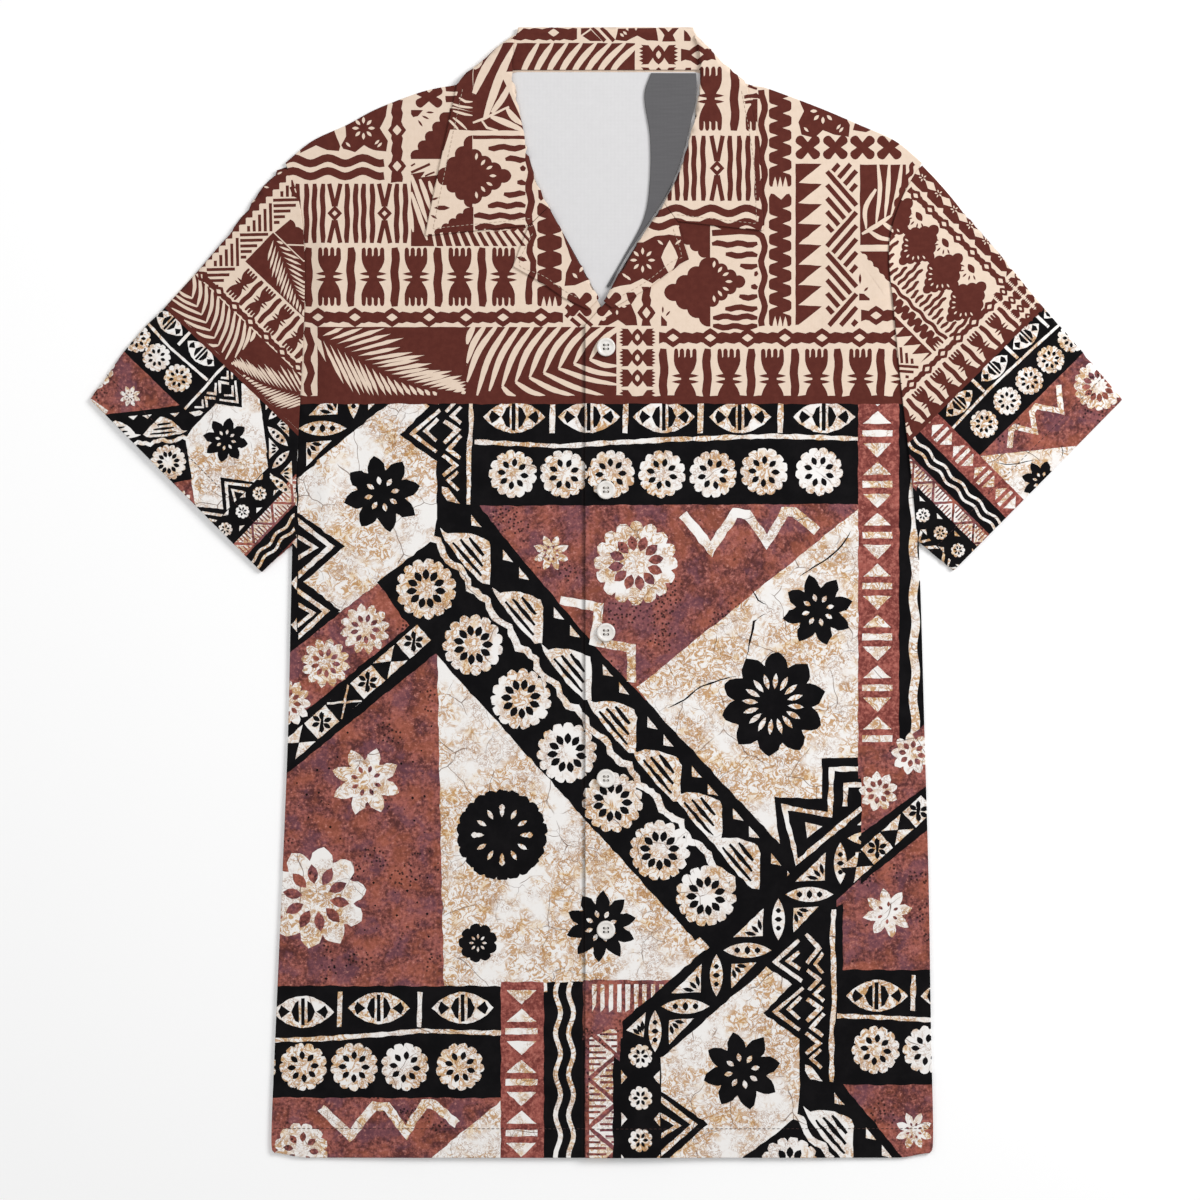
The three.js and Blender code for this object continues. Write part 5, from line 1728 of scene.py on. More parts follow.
class Wire:
    """A value in a material, which can be added, multiplied and mixed like a number."""

    def __init__(self, tree, socket):
        self.tree, self.socket = tree, socket

    def math(self, kind, *others):
        node = self.tree.nodes.new("ShaderNodeMath")
        node.operation = kind
        for slot, value in zip(node.inputs, (self, *others)):
            if isinstance(value, Wire):
                self.tree.links.new(value.socket, slot)
            else:
                slot.default_value = value
        return Wire(self.tree, node.outputs[0])

    def __add__(self, other):
        return self.math("ADD", other)

    def __sub__(self, other):
        return self.math("SUBTRACT", other)

    def __mul__(self, other):
        return self.math("MULTIPLY", other)

    def __rsub__(self, other):
        return (self * -1.0) + other

    __radd__, __rmul__ = __add__, __mul__

    def between(self, low, high):
        """0 below low, 1 above high, smooth in between."""
        node = self.tree.nodes.new("ShaderNodeMapRange")
        node.interpolation_type = "SMOOTHSTEP"
        node.inputs["From Min"].default_value, node.inputs["From Max"].default_value = low, high
        self.tree.links.new(self.socket, node.inputs["Value"])
        return Wire(self.tree, node.outputs["Result"])

    def near(self, number, reach):
        """1 where the value is the number, down to 0 where it is further off than reach."""
        return 1 - (self - number).math("ABSOLUTE").between(reach * 0.35, reach)

    def equals(self, number):
        return self.math("COMPARE", float(number), 0.3)

    def blend(self, first, second):
        """The first colour where this value is 0, the second where it is 1."""
        node = self.tree.nodes.new("ShaderNodeMix")
        node.data_type = "RGBA"
        self.tree.links.new(self.socket, node.inputs[0])
        for slot, value in ((6, first), (7, second)):
            if isinstance(value, Wire):
                self.tree.links.new(value.socket, node.inputs[slot])
            else:
                node.inputs[slot].default_value = value
        return Wire(self.tree, node.outputs[2])


def colour(red, green, blue):
    """Display values of 0 to 255, a little dimmed, as the light that they stand for."""
    parts = [0.972 * v / 255 for v in (red, green, blue)]
    return (*[v / 12.92 if v <= 0.04045 else ((v + 0.055) / 1.055) ** 2.4 for v in parts], 1.0)


class Finish:
    """A material with a Principled shader and the patterns that drive it."""

    def __init__(self, name, roughness, sheen=0.0, specular=0.3):
        self.material = bpy.data.materials.new(name)
        self.material.use_nodes = True
        self.tree = self.material.node_tree
        self.shader = self.tree.nodes["Principled BSDF"]
        self.shader.inputs["Roughness"].default_value = roughness
        self.shader.inputs["Specular IOR Level"].default_value = specular
        self.shader.inputs["Sheen Weight"].default_value = sheen
        self.shader.inputs["Sheen Roughness"].default_value = 0.5
        self.place = self.tree.nodes.new("ShaderNodeTexCoord").outputs["Object"]

    def stretched(self, turn, scale):
        node = self.tree.nodes.new("ShaderNodeMapping")
        node.inputs["Rotation"].default_value = (0, 0, math.radians(turn))
        node.inputs["Scale"].default_value = scale
        self.tree.links.new(self.place, node.inputs["Vector"])
        return node.outputs["Vector"]

    def warped(self, scale, amount):
        """The place, pushed about a little so that straight lines in it wander."""
        shove = self.tree.nodes.new("ShaderNodeTexNoise")
        shove.inputs["Scale"].default_value = scale
        self.tree.links.new(self.place, shove.inputs["Vector"])
        node = self.tree.nodes.new("ShaderNodeVectorMath")
        node.operation = "MULTIPLY_ADD"
        node.inputs[1].default_value = (amount, amount, amount)
        self.tree.links.new(shove.outputs["Color"], node.inputs[0])
        self.tree.links.new(self.place, node.inputs[2])
        return node.outputs["Vector"]

    def noise(self, scale, detail=3.0, rough=0.55, warp=0.0, place=None):
        node = self.tree.nodes.new("ShaderNodeTexNoise")
        node.inputs["Scale"].default_value = scale
        node.inputs["Detail"].default_value = detail
        node.inputs["Roughness"].default_value = rough
        node.inputs["Distortion"].default_value = warp
        self.tree.links.new(place or self.place, node.inputs["Vector"])
        return Wire(self.tree, node.outputs["Fac"])

    def cells(self, scale, feature="DISTANCE_TO_EDGE", place=None):
        node = self.tree.nodes.new("ShaderNodeTexVoronoi")
        node.feature = feature
        node.voronoi_dimensions = "2D"
        node.inputs["Scale"].default_value = scale
        self.tree.links.new(place or self.place, node.inputs["Vector"])
        return Wire(self.tree, node.outputs["Distance"])

    def bands(self, scale, axis):
        node = self.tree.nodes.new("ShaderNodeTexWave")
        node.bands_direction = axis
        node.inputs["Scale"].default_value = scale
        node.inputs["Distortion"].default_value = 0.4
        node.inputs["Detail Scale"].default_value = 3.0
        self.tree.links.new(self.place, node.inputs["Vector"])
        return Wire(self.tree, node.outputs["Fac"])

    def axes(self):
        node = self.tree.nodes.new("ShaderNodeSeparateXYZ")
        self.tree.links.new(self.place, node.inputs["Vector"])
        return Wire(self.tree, node.outputs["X"]), Wire(self.tree, node.outputs["Y"])

    def dye(self):
        node = self.tree.nodes.new("ShaderNodeAttribute")
        node.attribute_name = "dye"
        return Wire(self.tree, node.outputs["Fac"])

    def paint(self, value):
        self.tree.links.new(value.socket, self.shader.inputs["Base Color"])

    def relief(self, value, distance, strength=0.5):
        node = self.tree.nodes.new("ShaderNodeBump")
        node.inputs["Distance"].default_value = distance
        node.inputs["Strength"].default_value = strength
        self.tree.links.new(value.socket, node.inputs["Height"])
        self.tree.links.new(node.outputs["Normal"], self.shader.inputs["Normal"])


def weave(finish):
    """Plain weave and slubs, as a height."""
    return (finish.bands(330.0, "X") + finish.bands(330.0, "Y")) * 0.5 + finish.noise(160.0) * 0.8


def printed_cotton():
    """Batik dyes by number, each with its own mottling, on one woven cotton, and a painted shadow
    along the buttoning edge.
    """
    made = Finish("printed_cotton", 0.9, sheen=0.03, specular=0.12)
    dye = made.dye()
    broad = made.noise(20.0, 2.0, 0.5)
    cloudy = made.noise(70.0, 5.0, 0.68)
    grain = made.noise(420.0, 4.0, 0.7)
    fine = made.noise(240.0, 3.0, 0.6)

    # white ground: ochre that has crept under the wax in curls, and dark hair cracks
    mask = (broad * 0.6 + made.noise(44.0, 3.0, 0.6) * 0.6).between(0.49, 0.64)
    stain = made.noise(105.0, 5.0, 0.72).between(0.5, 0.64) * mask
    curls = made.noise(165.0, 4.0, 0.62, warp=0.9).near(0.5, 0.062) * mask
    threads = made.noise(330.0, 3.0, 0.6, warp=0.7).near(0.49, 0.05)
    threads = threads * made.noise(58.0, 2.0).between(0.44, 0.6)
    white = (stain * 0.7).blend(colour(244, 241, 238), colour(226, 192, 138))
    white = (curls * 0.86).blend(white, colour(190, 138, 74))
    white = (threads * 0.62).blend(white, colour(158, 108, 62))
    cracks = made.cells(30.0, place=made.warped(42.0, 0.016)).near(0.0, 0.012)
    cracks = cracks * made.noise(24.0, 3.0, 0.6).between(0.47, 0.56)
    hairs = made.cells(66.0, place=made.warped(80.0, 0.012)).near(0.0, 0.022)
    cracks = cracks + hairs * made.noise(31.0, 3.0, 0.6).between(0.5, 0.6) * 0.6
    white = (cracks * 0.8).blend(white, colour(104, 74, 56))

    black = cloudy.between(0.35, 0.7).blend(colour(5, 4, 6), colour(15, 13, 15))
    specks = made.cells(300.0, "F1").between(0.2, 0.27)
    specks = (1 - specks) * made.noise(34.0, 3.0, 0.6).between(0.55, 0.62)
    brushed = (cloudy * 0.45 + grain * 0.55).between(0.4, 0.61)
    hue = made.noise(52.0, 4.0, 0.62)
    rust = brushed.blend(colour(86, 47, 46), colour(168, 99, 90))
    rust = (hue.between(0.5, 0.62) * 0.55).blend(rust, colour(112, 72, 86))
    rust = ((1 - hue.between(0.36, 0.5)) * 0.45).blend(rust, colour(172, 96, 70))
    rust = (grain.between(0.57, 0.7) * 0.5).blend(rust, colour(208, 148, 134))
    rust = (specks * 0.85).blend(rust, colour(26, 18, 20))
    rose = brushed.blend(colour(112, 54, 50), colour(168, 94, 84))
    rose = (grain.between(0.5, 0.66) * 0.4).blend(rose, colour(194, 130, 116))

    maroon = (fine.between(0.35, 0.7) * 0.5).blend(colour(88, 40, 33), colour(102, 50, 41))
    cream = (fine.between(0.4, 0.7) * 0.4).blend(colour(230, 209, 190), colour(220, 198, 177))
    plain = fine.blend(colour(222, 221, 222), colour(214, 213, 214))

    ink = white
    for number, kind in ((BLACK, black), (RUST, rust), (MAROON, maroon), (CREAM, cream),
                         (PLAIN, plain), (ROSE, rose)):
        ink = dye.equals(number).blend(ink, kind)
    # painted shadow along the buttoning edge: a dark line on the front that lies under it, beside
    # the top front's edge, where that edge would shade it
    across, up = made.axes()
    edge_shadow = across.near(TOP_EDGE_X / 1000 - 0.0009, 0.0022) * (1 - up.between(0.186, 0.190))
    ink = (edge_shadow * 0.34).blend(ink, colour(30, 22, 22))
    made.paint(ink)
    made.relief(weave(made), 0.00012, 0.4)
    return made.material


def plain_cotton(name, low, high):
    made = Finish(name, 0.9, sheen=0.08, specular=0.2)
    slubs = made.noise(1.0, 3.0, 0.6, place=made.stretched(2, (60, 900, 60)))
    made.paint(slubs.between(0.3, 0.7).blend(colour(*low), colour(*high)))
    made.relief(weave(made), 0.00012, 0.4)
    return made.material


def shell_button():
    made = Finish("pale_button", 0.28, specular=0.5)
    made.shader.inputs["Coat Weight"].default_value = 0.3
    cloud = made.noise(260.0, 3.0, 0.5, warp=0.6)
    made.paint(cloud.between(0.3, 0.7).blend(colour(240, 236, 232), colour(226, 221, 214)))
    made.relief(cloud, 0.00008, 0.15)
    return made.material


def thread_finish(name, shade):
    made = Finish(name, 0.75, sheen=0.1)
    made.paint(made.noise(900.0).between(0.3, 0.7).blend(
        colour(*shade), colour(*[0.86 * v for v in shade])))
    return made.material


# ------------------------------------------------------------------ stitches and thread


def wired(tree, kind, values=(), links=(), **settings):
    """A node with its settings, its sockets' values by name, and its links."""
    node = tree.nodes.new(kind)
    for name, value in settings.items():
        setattr(node, name, value)
    for name, value in values:
        node.inputs[name].default_value = value
    for name, socket in links:
        tree.links.new(socket, node.inputs[name])
    return node


STITCH = {"Pitch": 3.3, "Length": 2.5, "Thickness": 0.5}
THREAD_LIFT = 0.08  # of a stitch's middle over the cloth
STRAND = 0.2  # radius of the thread in a button


def stitch_tree(material):
    """Geometry nodes: a row of small rounded stitches along each line of a mesh."""
    tree = bpy.data.node_groups.new("row_of_stitches", "GeometryNodeTree")
    tree.interface.new_socket("Line", in_out="INPUT", socket_type="NodeSocketGeometry")
    for name in STITCH:
        tree.interface.new_socket(name, in_out="INPUT", socket_type="NodeSocketFloat")
    tree.interface.new_socket("Stitches", in_out="OUTPUT", socket_type="NodeSocketGeometry")
    given = tree.nodes.new("NodeGroupInput").outputs
    curve = wired(tree, "GeometryNodeMeshToCurve", links=[("Mesh", given["Line"])])
    points = wired(tree, "GeometryNodeCurveToPoints", mode="LENGTH",
                   links=[("Curve", curve.outputs["Curve"]), ("Length", given["Pitch"])])
    turn = wired(tree, "FunctionNodeAlignRotationToVector", axis="X",
                 links=[("Vector", points.outputs["Tangent"])])
    bead = wired(tree, "GeometryNodeMeshUVSphere",
                 [("Segments", 6), ("Rings", 4), ("Radius", 0.5)])
    size = wired(tree, "ShaderNodeCombineXYZ", links=[
        ("X", given["Length"]), ("Y", given["Thickness"]), ("Z", given["Thickness"])])
    rows = wired(tree, "GeometryNodeInstanceOnPoints", links=[
        ("Points", points.outputs["Points"]), ("Instance", bead.outputs["Mesh"]),
        ("Rotation", turn.outputs["Rotation"]), ("Scale", size.outputs["Vector"])])
    real = wired(tree, "GeometryNodeRealizeInstances",
                 links=[("Geometry", rows.outputs["Instances"])])
    done = wired(tree, "GeometryNodeSetMaterial", [("Material", material)],
                 [("Geometry", real.outputs["Geometry"])])
    out = tree.nodes.new("NodeGroupOutput")
    tree.links.new(done.outputs["Geometry"], out.inputs["Stitches"])
    return tree


def sewn(name, lines, tree):
    """A row of stitches along each line of points in millimetres, as one plain mesh."""
    points, edges = [], []
    for line in lines:
        first = len(points)
        points += (np.asarray(line) / 1000).tolist()
        edges += [(k, k + 1) for k in range(first, len(points) - 1)]
    mesh = bpy.data.meshes.new(name + "_lines")
    mesh.from_pydata(points, edges, [])
    made = linked(name, mesh)
    rows = made.modifiers.new("rows", "NODES")
    rows.node_group = tree
    sockets = {item.name: item.identifier for item in tree.interface.items_tree
               if item.in_out == "INPUT"}
    for socket, value in STITCH.items():
        rows[sockets[socket]] = value / 1000
    evaluated = made.evaluated_get(bpy.context.evaluated_depsgraph_get())
    made.data = bpy.data.meshes.new_from_object(evaluated)
    made.modifiers.clear()
    made.data.polygons.foreach_set("use_smooth", [True] * len(made.data.polygons))
    return made


def on_cloth(line, top):
    line = np.asarray(line, float)
    return np.column_stack([line, top(line[:, 0], line[:, 1]) + THREAD_LIFT])


def hem_rows():
    rows = []
    for side, start, end in ((-1, -231.5, -16.2), (1, -12.0, 226.8)):
        xs = np.linspace(start, end, 70)
        rows.append(on_cloth(np.column_stack([xs, 0 * xs + HEM_Y + HEM_DEPTH]),
                             lambda x, y, side=side: front_base(side)(x, y) + CLOTH))
    return rows


def cuff_rows(side):
    over, under = spline(SLEEVE_TOP[side]), spline(SLEEVE_UNDER[side], 1.5)
    ends, along = [], under[-1] - over[-1]
    along = along / math.hypot(*along)
    for line in (over, under):
        away = np.abs((line - over[-1]) @ np.array([-along[1], along[0]]))
        ends.append(line[np.abs(away - HEM_DEPTH).argmin()])
    row = straight([ends[0] + along * 0.8, ends[1] - along * 0.8])
    return [on_cloth(row, sleeve_top(side))]


def collar_rows(side):
    at_shoulder, middle, corner, notch = LEAF[side]
    free = moved(spline([at_shoulder, middle, corner]), -side * EDGE_ROW)
    gorge = moved(straight([corner, notch]), -side * EDGE_ROW)
    free = free[(free[:, 1] > gorge[0][1]) & (free[:, 1] < at_shoulder[1] - 5)]
    gorge = gorge[np.abs(gorge[:, 0]) < abs(free[-1][0])]
    lapel_row = moved(spline(LAPEL[side], 2.0), -side * EDGE_ROW)[2:-6]
    base = front_base(side)
    return [on_cloth(line, lambda x, y: base(x, y) + COLLAR_LIFT)
            for line in (np.vstack([free, gorge]), lapel_row)]


def button_thread(name, y, material):
    """Two strands over each button, from hole to hole and down to the cloth."""
    seat, points, faces = button_seat(y), [], []
    for side in (-1, 1):
        for lean in (-0.28, 0.28):
            first, steps, around = len(points), 10, 6
            for k in range(steps + 1):
                angle = math.pi * k / steps
                along = -BUTTON_PITCH * math.cos(angle) * 1.04
                high = seat + 0.4 + 1.95 * math.sin(angle) ** 0.35
                for j in range(around):
                    a = 2 * math.pi * j / around
                    out = STRAND * math.cos(a)
                    points.append((along + out * abs(math.cos(angle)),
                                   y + side * BUTTON_PITCH + lean + STRAND * math.sin(a),
                                   high + out * math.sin(angle)))
            for k in range(steps):
                for j in range(around):
                    a, b = first + k * around + j, first + k * around + (j + 1) % around
                    faces.append((a, b, b + around, a + around))
            faces.append([first + j for j in reversed(range(around))])
            faces.append([first + steps * around + j for j in range(around)])
    mesh = bpy.data.meshes.new(name)
    mesh.from_pydata([(a / 1000, b / 1000, c / 1000) for a, b, c in points], [], faces)
    fixed = bmesh.new()
    fixed.from_mesh(mesh)
    bmesh.ops.recalc_face_normals(fixed, faces=fixed.faces)
    fixed.to_mesh(mesh)
    fixed.free()
    mesh.polygons.foreach_set("use_smooth", [True] * len(mesh.polygons))
    mesh.materials.append(material)
    return linked(name, mesh)


def sew():
    """All the sewing that shows on the outside."""
    dark, cream = (thread_finish(name, shade) for name, shade in (
        ("dark_thread", (58, 30, 28)), ("cream_thread", (206, 184, 164))))
    pale = thread_finish("pale_thread", (226, 221, 214))
    trees = {"collar": stitch_tree(cream), "other": stitch_tree(dark)}
    rows = {"stitches_hem": hem_rows()}
    for side in (-1, 1):
        rows["stitches_cuff_" + WEARERS[side]] = cuff_rows(side)
        rows["stitches_collar_" + WEARERS[side]] = collar_rows(side)
    made = [sewn(name, lines, trees["collar" if "collar" in name else "other"])
            for name, lines in rows.items()]
    slots = ["printed_cloth"] * len(made)
    for k, y in enumerate(BUTTON_YS):
        made.append(button_thread(f"thread_{k + 1}", y, pale))
        slots.append("button")
    for thread, slot in zip(made, slots):
        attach(thread, "root")
# ------------------------------------------------------------------ camera, light and floor


def studio():
    middle_x, middle_y, width = -4.2, -5.25, 840.0
    lens, sensor = 110.0, 36.0
    camera = bpy.data.cameras.new("camera")
    camera.lens, camera.sensor_width = lens, sensor
    camera.clip_end = 20
    viewer = linked("camera", camera)
    viewer.location = (middle_x / 1000, middle_y / 1000, width * lens / sensor / 1000 + 0.004)
    bpy.context.scene.camera = viewer

    world = bpy.data.worlds.new("room")
    world.use_nodes = True
    world.node_tree.nodes["Background"].inputs["Color"].default_value = (1, 1, 1, 1)
    world.node_tree.nodes["Background"].inputs["Strength"].default_value = 0.51
    bpy.context.scene.world = world
    for name, place, size, power in (
        ("soft_box", (1.5, 0.95, 1.3), 0.9, 35.0),
        ("fill", (-1.3, 0.4, 1.9), 1.6, 11.0),
    ):
        light = bpy.data.lights.new(name, "AREA")
        light.shape, light.size, light.energy = "SQUARE", size, power
        lamp = linked(name, light)
        lamp.location = place
        lamp.rotation_euler = (-Vector(place)).to_track_quat("-Z", "Y").to_euler()

    mesh = bpy.data.meshes.new("floor")
    mesh.from_pydata([(-12, -12, 0), (12, -12, 0), (12, 12, 0), (-12, 12, 0)], [], [(0, 1, 2, 3)])
    finish = Finish("pale_floor", 0.9, specular=0.1)
    finish.paint(finish.noise(3.0).blend((0.985, 0.985, 0.985, 1), (1, 1, 1, 1)))
    mesh.materials.append(finish.material)
    linked("floor", mesh)
    bpy.context.scene.view_settings.view_transform = "Standard"


# ------------------------------------------------------------------ the pieces


def in_plan(ink, mirror=False):
    """The shapes of an Ink in millimetres on the shirt, or as seen from behind it."""
    sign = -1 if mirror else 1
    return [
        (dye, [(sign * (x - MIDDLE_X) * POINT, (MIDDLE_Y - y) * POINT) for x, y in points])
        for dye, points in ink.shapes
    ]


def ccw(shapes):
    out = []
    for dye, points in shapes:
        p = np.array(points)
        q = np.roll(p, -1, axis=0)
        area = (p[:, 0] * q[:, 1] - q[:, 0] * p[:, 1]).sum()
        out.append((dye, [tuple(v) for v in (p if area > 0 else p[::-1])]))
    return out


def hem(from_x, to_x):
    xs = np.linspace(from_x, to_x, round(abs(to_x - from_x) / 3) + 1)
    corner = np.minimum(xs - SIDE_SEAM[0][1], SIDE_SEAM[0][2] - xs)
    rise = (SIDE_SEAM[0][0] - HEM_Y) * (1 - smooth(0, 22, corner))
    return np.column_stack([xs, HEM_Y + rise])


def side_line(side):
    return np.vstack([spline(column(SIDE_SEAM, side)), spline(column(ARMHOLE, side))])


def shoulder_line(side):
    return spline([column(ARMHOLE, side)[-1], *column(SHOULDER, side)])


def back_ring():
    right, left = shoulder_line(-1), shoulder_line(1)
    neck = straight([right[-1], (-62, BACK_NECK_Y - SEAM), (62, BACK_NECK_Y - SEAM), left[-1]])
    return ring_of(hem(SIDE_SEAM[0][1], SIDE_SEAM[0][2]), side_line(1), left, neck[::-1],
                   right[::-1], side_line(-1)[::-1])


def front_ring(side):
    edge_x = TOP_EDGE_X if side > 0 else UNDER_EDGE_X
    break_y = BREAK_Y if side > 0 else UNDER_BREAK_Y
    fold = moved(spline(NECK_EDGE[side][GORGE:]), side * 1.95)[::-1]
    seam = spline([(side * x, y) for x, y in NECK_SEAM])
    inner = np.vstack([straight([(edge_x, HEM_Y), (edge_x, break_y), fold[0]]), fold, seam])
    outer = np.vstack([side_line(side), shoulder_line(side)])
    return ring_of(hem(edge_x, column(SIDE_SEAM, side)[0][0]), outer, inner[::-1])


def sleeve_rings(side):
    """Cut outline of the upper layer with its turned-under strips, and of the lower layer."""
    seam = spline(column(ARMHOLE, side))[::-1][2:-4]
    armhole, low_armhole = moved(seam, side * -0.8), moved(seam, side * -0.1)
    top, under = spline(SLEEVE_TOP[side]), spline(SLEEVE_UNDER[side])
    wrap = math.pi * SLEEVE_ROLL - SLEEVE_ROLL
    strip = wrap + 9.0
    top_out = moved(top, side * strip)
    under_out = moved(under, -side * strip)
    cuff = straight([top_out[-1], top[-1], under[-1], under_out[-1]])
    upper = ring_of(top_out, cuff, under_out[::-1], armhole[::-1])
    clear = SLEEVE_ROLL + 9.6
    low_top, low_under = moved(top, -side * clear), moved(under, side * clear)
    cuff = straight([low_top[-1], low_under[-1]])
    lower = ring_of(low_top[2:], cuff, low_under[::-1], low_armhole[::-1][3:-3])
    return upper, lower
def sleeve_folds(side):
    top, under = spline(SLEEVE_TOP[side]), spline(SLEEVE_UNDER[side])
    lines = (top, under[::-1]) if side > 0 else (top[::-1], under)
    return [(line, SLEEVE_ROLL) for line in lines]


def sleeve_top(side):
    (over, _), (under, _) = sleeve_folds(side)

    def top(x, y):
        p = np.column_stack([x, y])
        from_over, from_under = -nearest(p, over)[0], -nearest(p, under)[0]
        full = smooth(*SLEEVE_RISE, from_over) * smooth(*SLEEVE_RISE, from_under)
        return SLEEVE_LIFT + full * (SWELL + fold_height(x, y))

    return top


def sleeve(side, material, ink):
    upper, lower = sleeve_rings(side)
    place = laid(sleeve_top(side), sleeve_folds(side))
    parts = [
        cloth("sleeve", inset(upper, TRIM), place, face=ink, face_plain=BLACK, back_plain=PLAIN),
        cloth("sleeve", inset(lower, TRIM), laid(lambda x, y: 0 * x + CLOTH), face_plain=PLAIN,
              back=ink, back_plain=BLACK),
    ]
    return piece("sleeve_wearers_" + WEARERS[side], parts, material)


def tapered(line, side, distance, first, over):
    """A line moved sideways, by less at its start."""
    line = np.asarray(line)
    run = np.concatenate([[0], np.cumsum(np.hypot(*np.diff(line, axis=0).T))])
    reach = first + (distance - first) * np.clip(run / over, 0, 1)
    return line + outward(line, 1) * (side * reach)[:, None]


def leaf_part(side, ink):
    edge = spline(NECK_EDGE[side][: GORGE + 1])
    shoulder = spline(COLLAR_SHOULDER[side])
    at_shoulder, middle, corner, notch = LEAF[side]
    base = front_base(side)
    strip = (math.pi - 1) * NECK_ROLL + 4.5
    edge_out = tapered(edge, -side, strip, 0.4, 26)
    wrap = (math.pi - 1) * SHOULDER_ROLL + 0.6
    shoulder_out = tapered(shoulder[::-1], side, wrap, 1.0, 24)[::-1]
    free = spline([at_shoulder, middle, corner])
    gorge = straight([corner, notch, edge[-1]])
    ring = ring_of(free[::-1][:-1], shoulder_out, edge_out, gorge[::-1])
    folds = [
        (edge[::-1] if side > 0 else edge, NECK_ROLL),
        (shoulder[::-1] if side > 0 else shoulder, SHOULDER_ROLL),
    ]
    place = laid(lambda x, y: base(x, y) + COLLAR_LIFT, folds)
    return cloth("leaf", inset(ring, TRIM), place, face=ink, face_plain=CREAM, back_plain=CREAM)


def band_part(ink):
    start = COLLAR_TOP_Y - BACK_ROLL

    def behind(points):
        return [(x, 2 * start + math.pi * BACK_ROLL - y) for x, y in points]

    left = moved(spline(COLLAR_SHOULDER[1]), 5.6)[::-1]
    right = moved(spline(COLLAR_SHOULDER[-1]), -5.6)[::-1]
    fall = np.vstack([behind(left), behind(spline(FALL_EDGE)[::-1]), behind(right[::-1])])
    ring = ring_of(
        straight([(-72, 366), (72, 366), (74, 380), (64.5, 388), (61.5, 393), fall[0]]), fall,
        straight([fall[-1], (-61.5, 393), (-64.5, 388), (-74, 380), (-72, 366)]),
    )
    fold = (np.array([(-200, COLLAR_TOP_Y), (-70, COLLAR_TOP_Y), (70, COLLAR_TOP_Y),
                      (200, COLLAR_TOP_Y)], float), BACK_ROLL)
    place = laid(lambda x, y: COLLAR_LIFT + STAND_RISE * smooth(*STAND_ABOVE, y), [fold])
    return cloth("band", inset(ring, TRIM), place, face=ink, face_plain=CREAM, back_plain=CREAM)


def lapel(side, material, ink):
    edge = spline(NECK_EDGE[side][GORGE:], 2.0)
    edge_out = moved(edge, -side * ((math.pi - 1) * NECK_ROLL - 0.3))
    free = straight(LAPEL[side], 2.0)
    ring = ring_of(edge_out, straight([edge_out[-1], edge[-1], free[-1]]), free[::-1],
                   straight([free[0], edge[0]]))
    base = front_base(side)
    fold = edge[::-1] if side > 0 else edge
    place = laid(lambda x, y: base(x, y) + COLLAR_LIFT, [(fold, NECK_ROLL)])
    part = cloth("lapel", inset(ring, TRIM), place, face=ink, face_plain=CREAM,
                 back_plain=PLAIN, grid=4.0)
    return piece("lapel_wearers_" + WEARERS[side], [part], material)


# The facing's dark grey is painted shade: it stands in for the shadow inside the neck opening on
# the wearer's left, not for a grey cloth.
def neck_facing(material):
    inner = spline(FACING_EDGE)
    outer = moved(spline([(64.6, 363.8), *NECK_EDGE[1][2:]]), -1.3)
    outer[-1] = (1.6, 212.4)
    ring = ring_of(inner, outer[::-1])
    part = cloth("facing", inset(ring, TRIM), laid(lambda x, y: neck_lift(x, y) + COLLAR_LIFT),
                 face_plain=SHADE_GREY, back_plain=SHADE_GREY, grid=4.0)
    return piece("facing_inside_neck", [part], material)


def button_seat(y):
    angles = np.linspace(0, 2 * math.pi, 13)[:-1]
    around = top_front(BUTTON_RADIUS * np.cos(angles), y + BUTTON_RADIUS * np.sin(angles))
    return max(float(around.max()), float(top_front(np.array([0.0]), np.array([y]))[0])) + LAYER


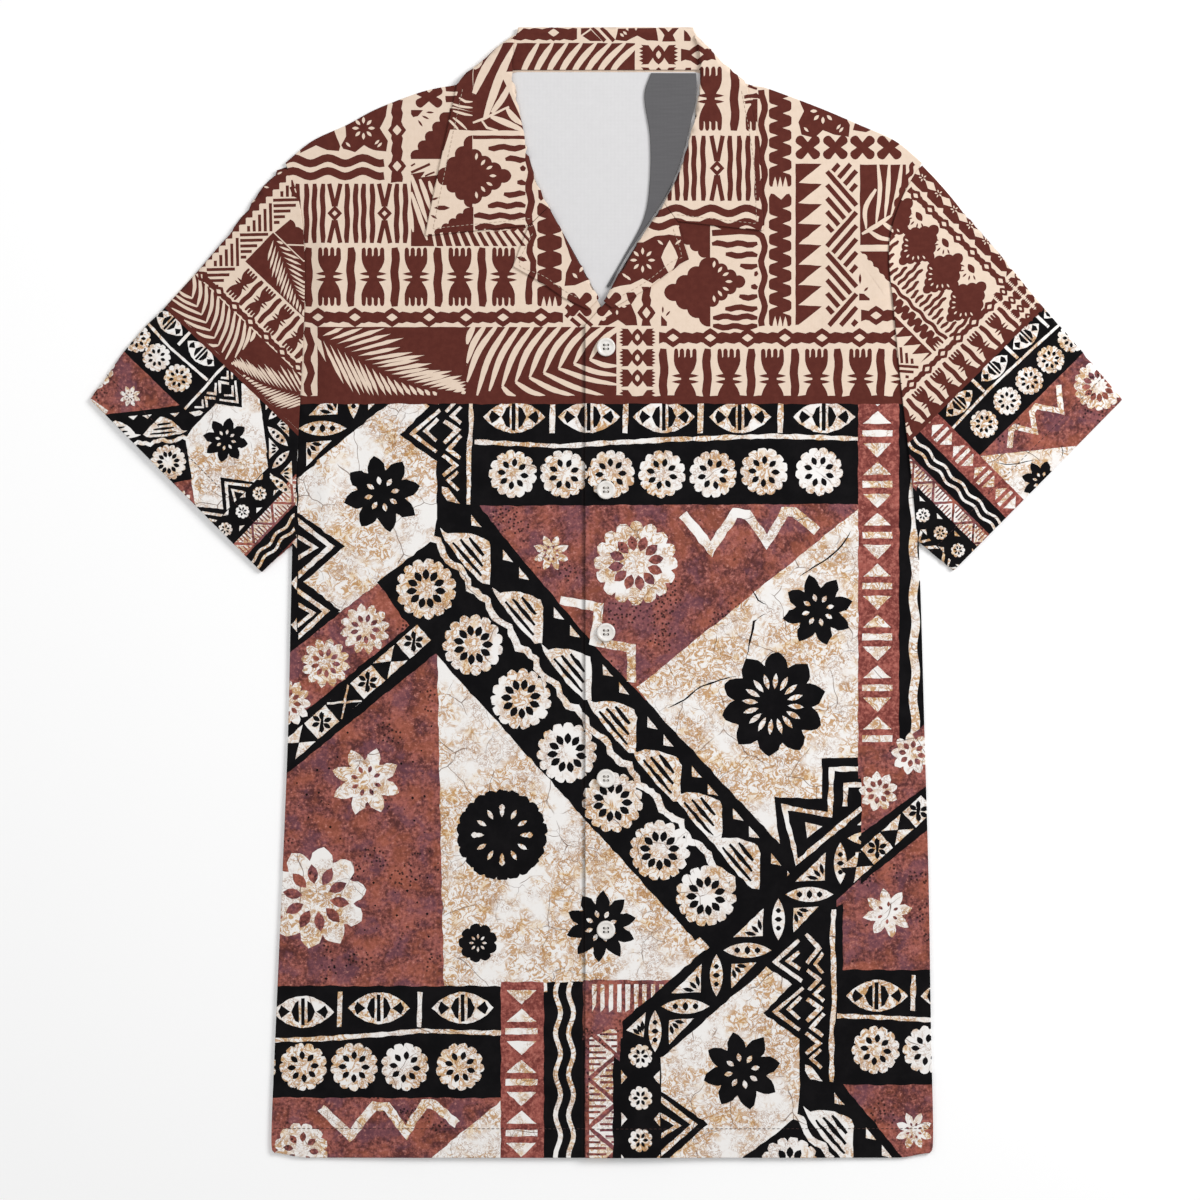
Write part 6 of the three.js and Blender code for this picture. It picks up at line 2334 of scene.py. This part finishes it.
def button(name, y, material):
    """A pierced disc with a raised rim, all of one mesh."""
    steps, hole_steps = 56, 16
    circle = [2 * math.pi * k / steps for k in range(steps)]
    flat, faces = [], []
    for r, _ in BUTTON_PROFILE:
        flat += [(r * math.cos(a), r * math.sin(a)) for a in circle]
    rims = []
    for sx, sy in ((1, 1), (-1, 1), (-1, -1), (1, -1)):
        rims.append(list(range(len(flat), len(flat) + hole_steps)))
        flat += [
            (sx * BUTTON_PITCH + BUTTON_HOLE * math.cos(2 * math.pi * k / hole_steps),
             sy * BUTTON_PITCH + BUTTON_HOLE * math.sin(2 * math.pi * k / hole_steps))
            for k in range(hole_steps)
        ]
    rings = [list(range(steps * k, steps * (k + 1))) for k in range(len(BUTTON_PROFILE))]
    made = delaunay_2d_cdt(flat, [], [rings[-1], *rims], 1, 1e-5, True)
    heights = {k: z for ring, (_, z) in zip(rings, BUTTON_PROFILE) for k in ring}
    low = len(flat)
    points = [(x, y0, heights.get(k, BUTTON_PROFILE[-1][1])) for k, (x, y0) in enumerate(flat)]
    points += [(x, y0, 0.0) for x, y0 in flat]
    back_to = {new: old[0] for new, old in enumerate(made[3])}
    for triangle, origin in zip(made[2], made[5]):
        if origin == [0] or tuple(origin) == (0,):
            face = [back_to[i] for i in triangle]
            faces += [face, [i + low for i in reversed(face)]]
    for a, b in zip(rings, rings[1:]):
        for k in range(steps):
            j = (k + 1) % steps
            face = [a[k], a[j], b[j], b[k]]
            faces += [face, [i + low for i in reversed(face)]]
    for k in range(steps):
        j = (k + 1) % steps
        faces.append([rings[0][j], rings[0][k], rings[0][k] + low, rings[0][j] + low])
    for ring in rims:
        for k in range(hole_steps):
            j = (k + 1) % hole_steps
            faces.append([ring[k], ring[j], ring[j] + low, ring[k] + low])
    seat = button_seat(y)
    mesh = bpy.data.meshes.new(name)
    mesh.from_pydata([(a / 1000, (b + y) / 1000, (c + seat) / 1000) for a, b, c in points], [],
                     faces)
    mesh.polygons.foreach_set("use_smooth", [True] * len(mesh.polygons))
    mesh.set_sharp_from_angle(angle=math.radians(50))
    mesh.materials.append(material)
    return linked(name, mesh)


def body_print():
    ink = Ink()
    squares(ink)
    yoke(ink)
    return ink


def build():
    studio()
    printed = printed_cotton()
    # dark grey painted shade for the inside of the neck opening
    painted_shade_cloth = plain_cotton("facing_painted_shade", (95, 94, 96), (99, 98, 100))
    pale = shell_button()
    front_ink = ccw(in_plan(body_print()))
    back_ink = ccw(in_plan(body_print(), mirror=True))

    made = {}
    made["back"] = piece("back_panel", [cloth("back", inset(back_ring(), TRIM), laid(
        lambda x, y: neck_lift(x, y) + CLOTH), face_plain=PLAIN, back=back_ink,
        back_plain=BLACK)], printed)
    for side, node in ((-1, "front_right"), (1, "front_left")):
        base = front_base(side)
        made[node] = piece("front_wearers_" + node[6:], [cloth(node, inset(front_ring(side), TRIM),
            laid(lambda x, y, base=base: base(x, y) + CLOTH), face=front_ink, face_plain=BLACK,
            back_plain=PLAIN)], printed)
        sleeve_ink = ccw(on_sleeve(sleeve_print(side), side))
        made[node.replace("front", "sleeve")] = sleeve(side, printed, sleeve_ink)
        made[node.replace("front", "lapel")] = lapel(side, printed, front_ink)
    made["collar"] = piece("camp_collar", [leaf_part(-1, front_ink), leaf_part(1, front_ink),
                                           band_part(front_ink)], printed)
    made["neck_facing"] = neck_facing(painted_shade_cloth)
    for k, y in enumerate(BUTTON_YS):
        made[f"button_{k + 1}"] = button(f"pierced_button_{k + 1}", y, pale)
    for node, made_piece in made.items():
        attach(made_piece, "root")
        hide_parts(node)
    sew()


build()
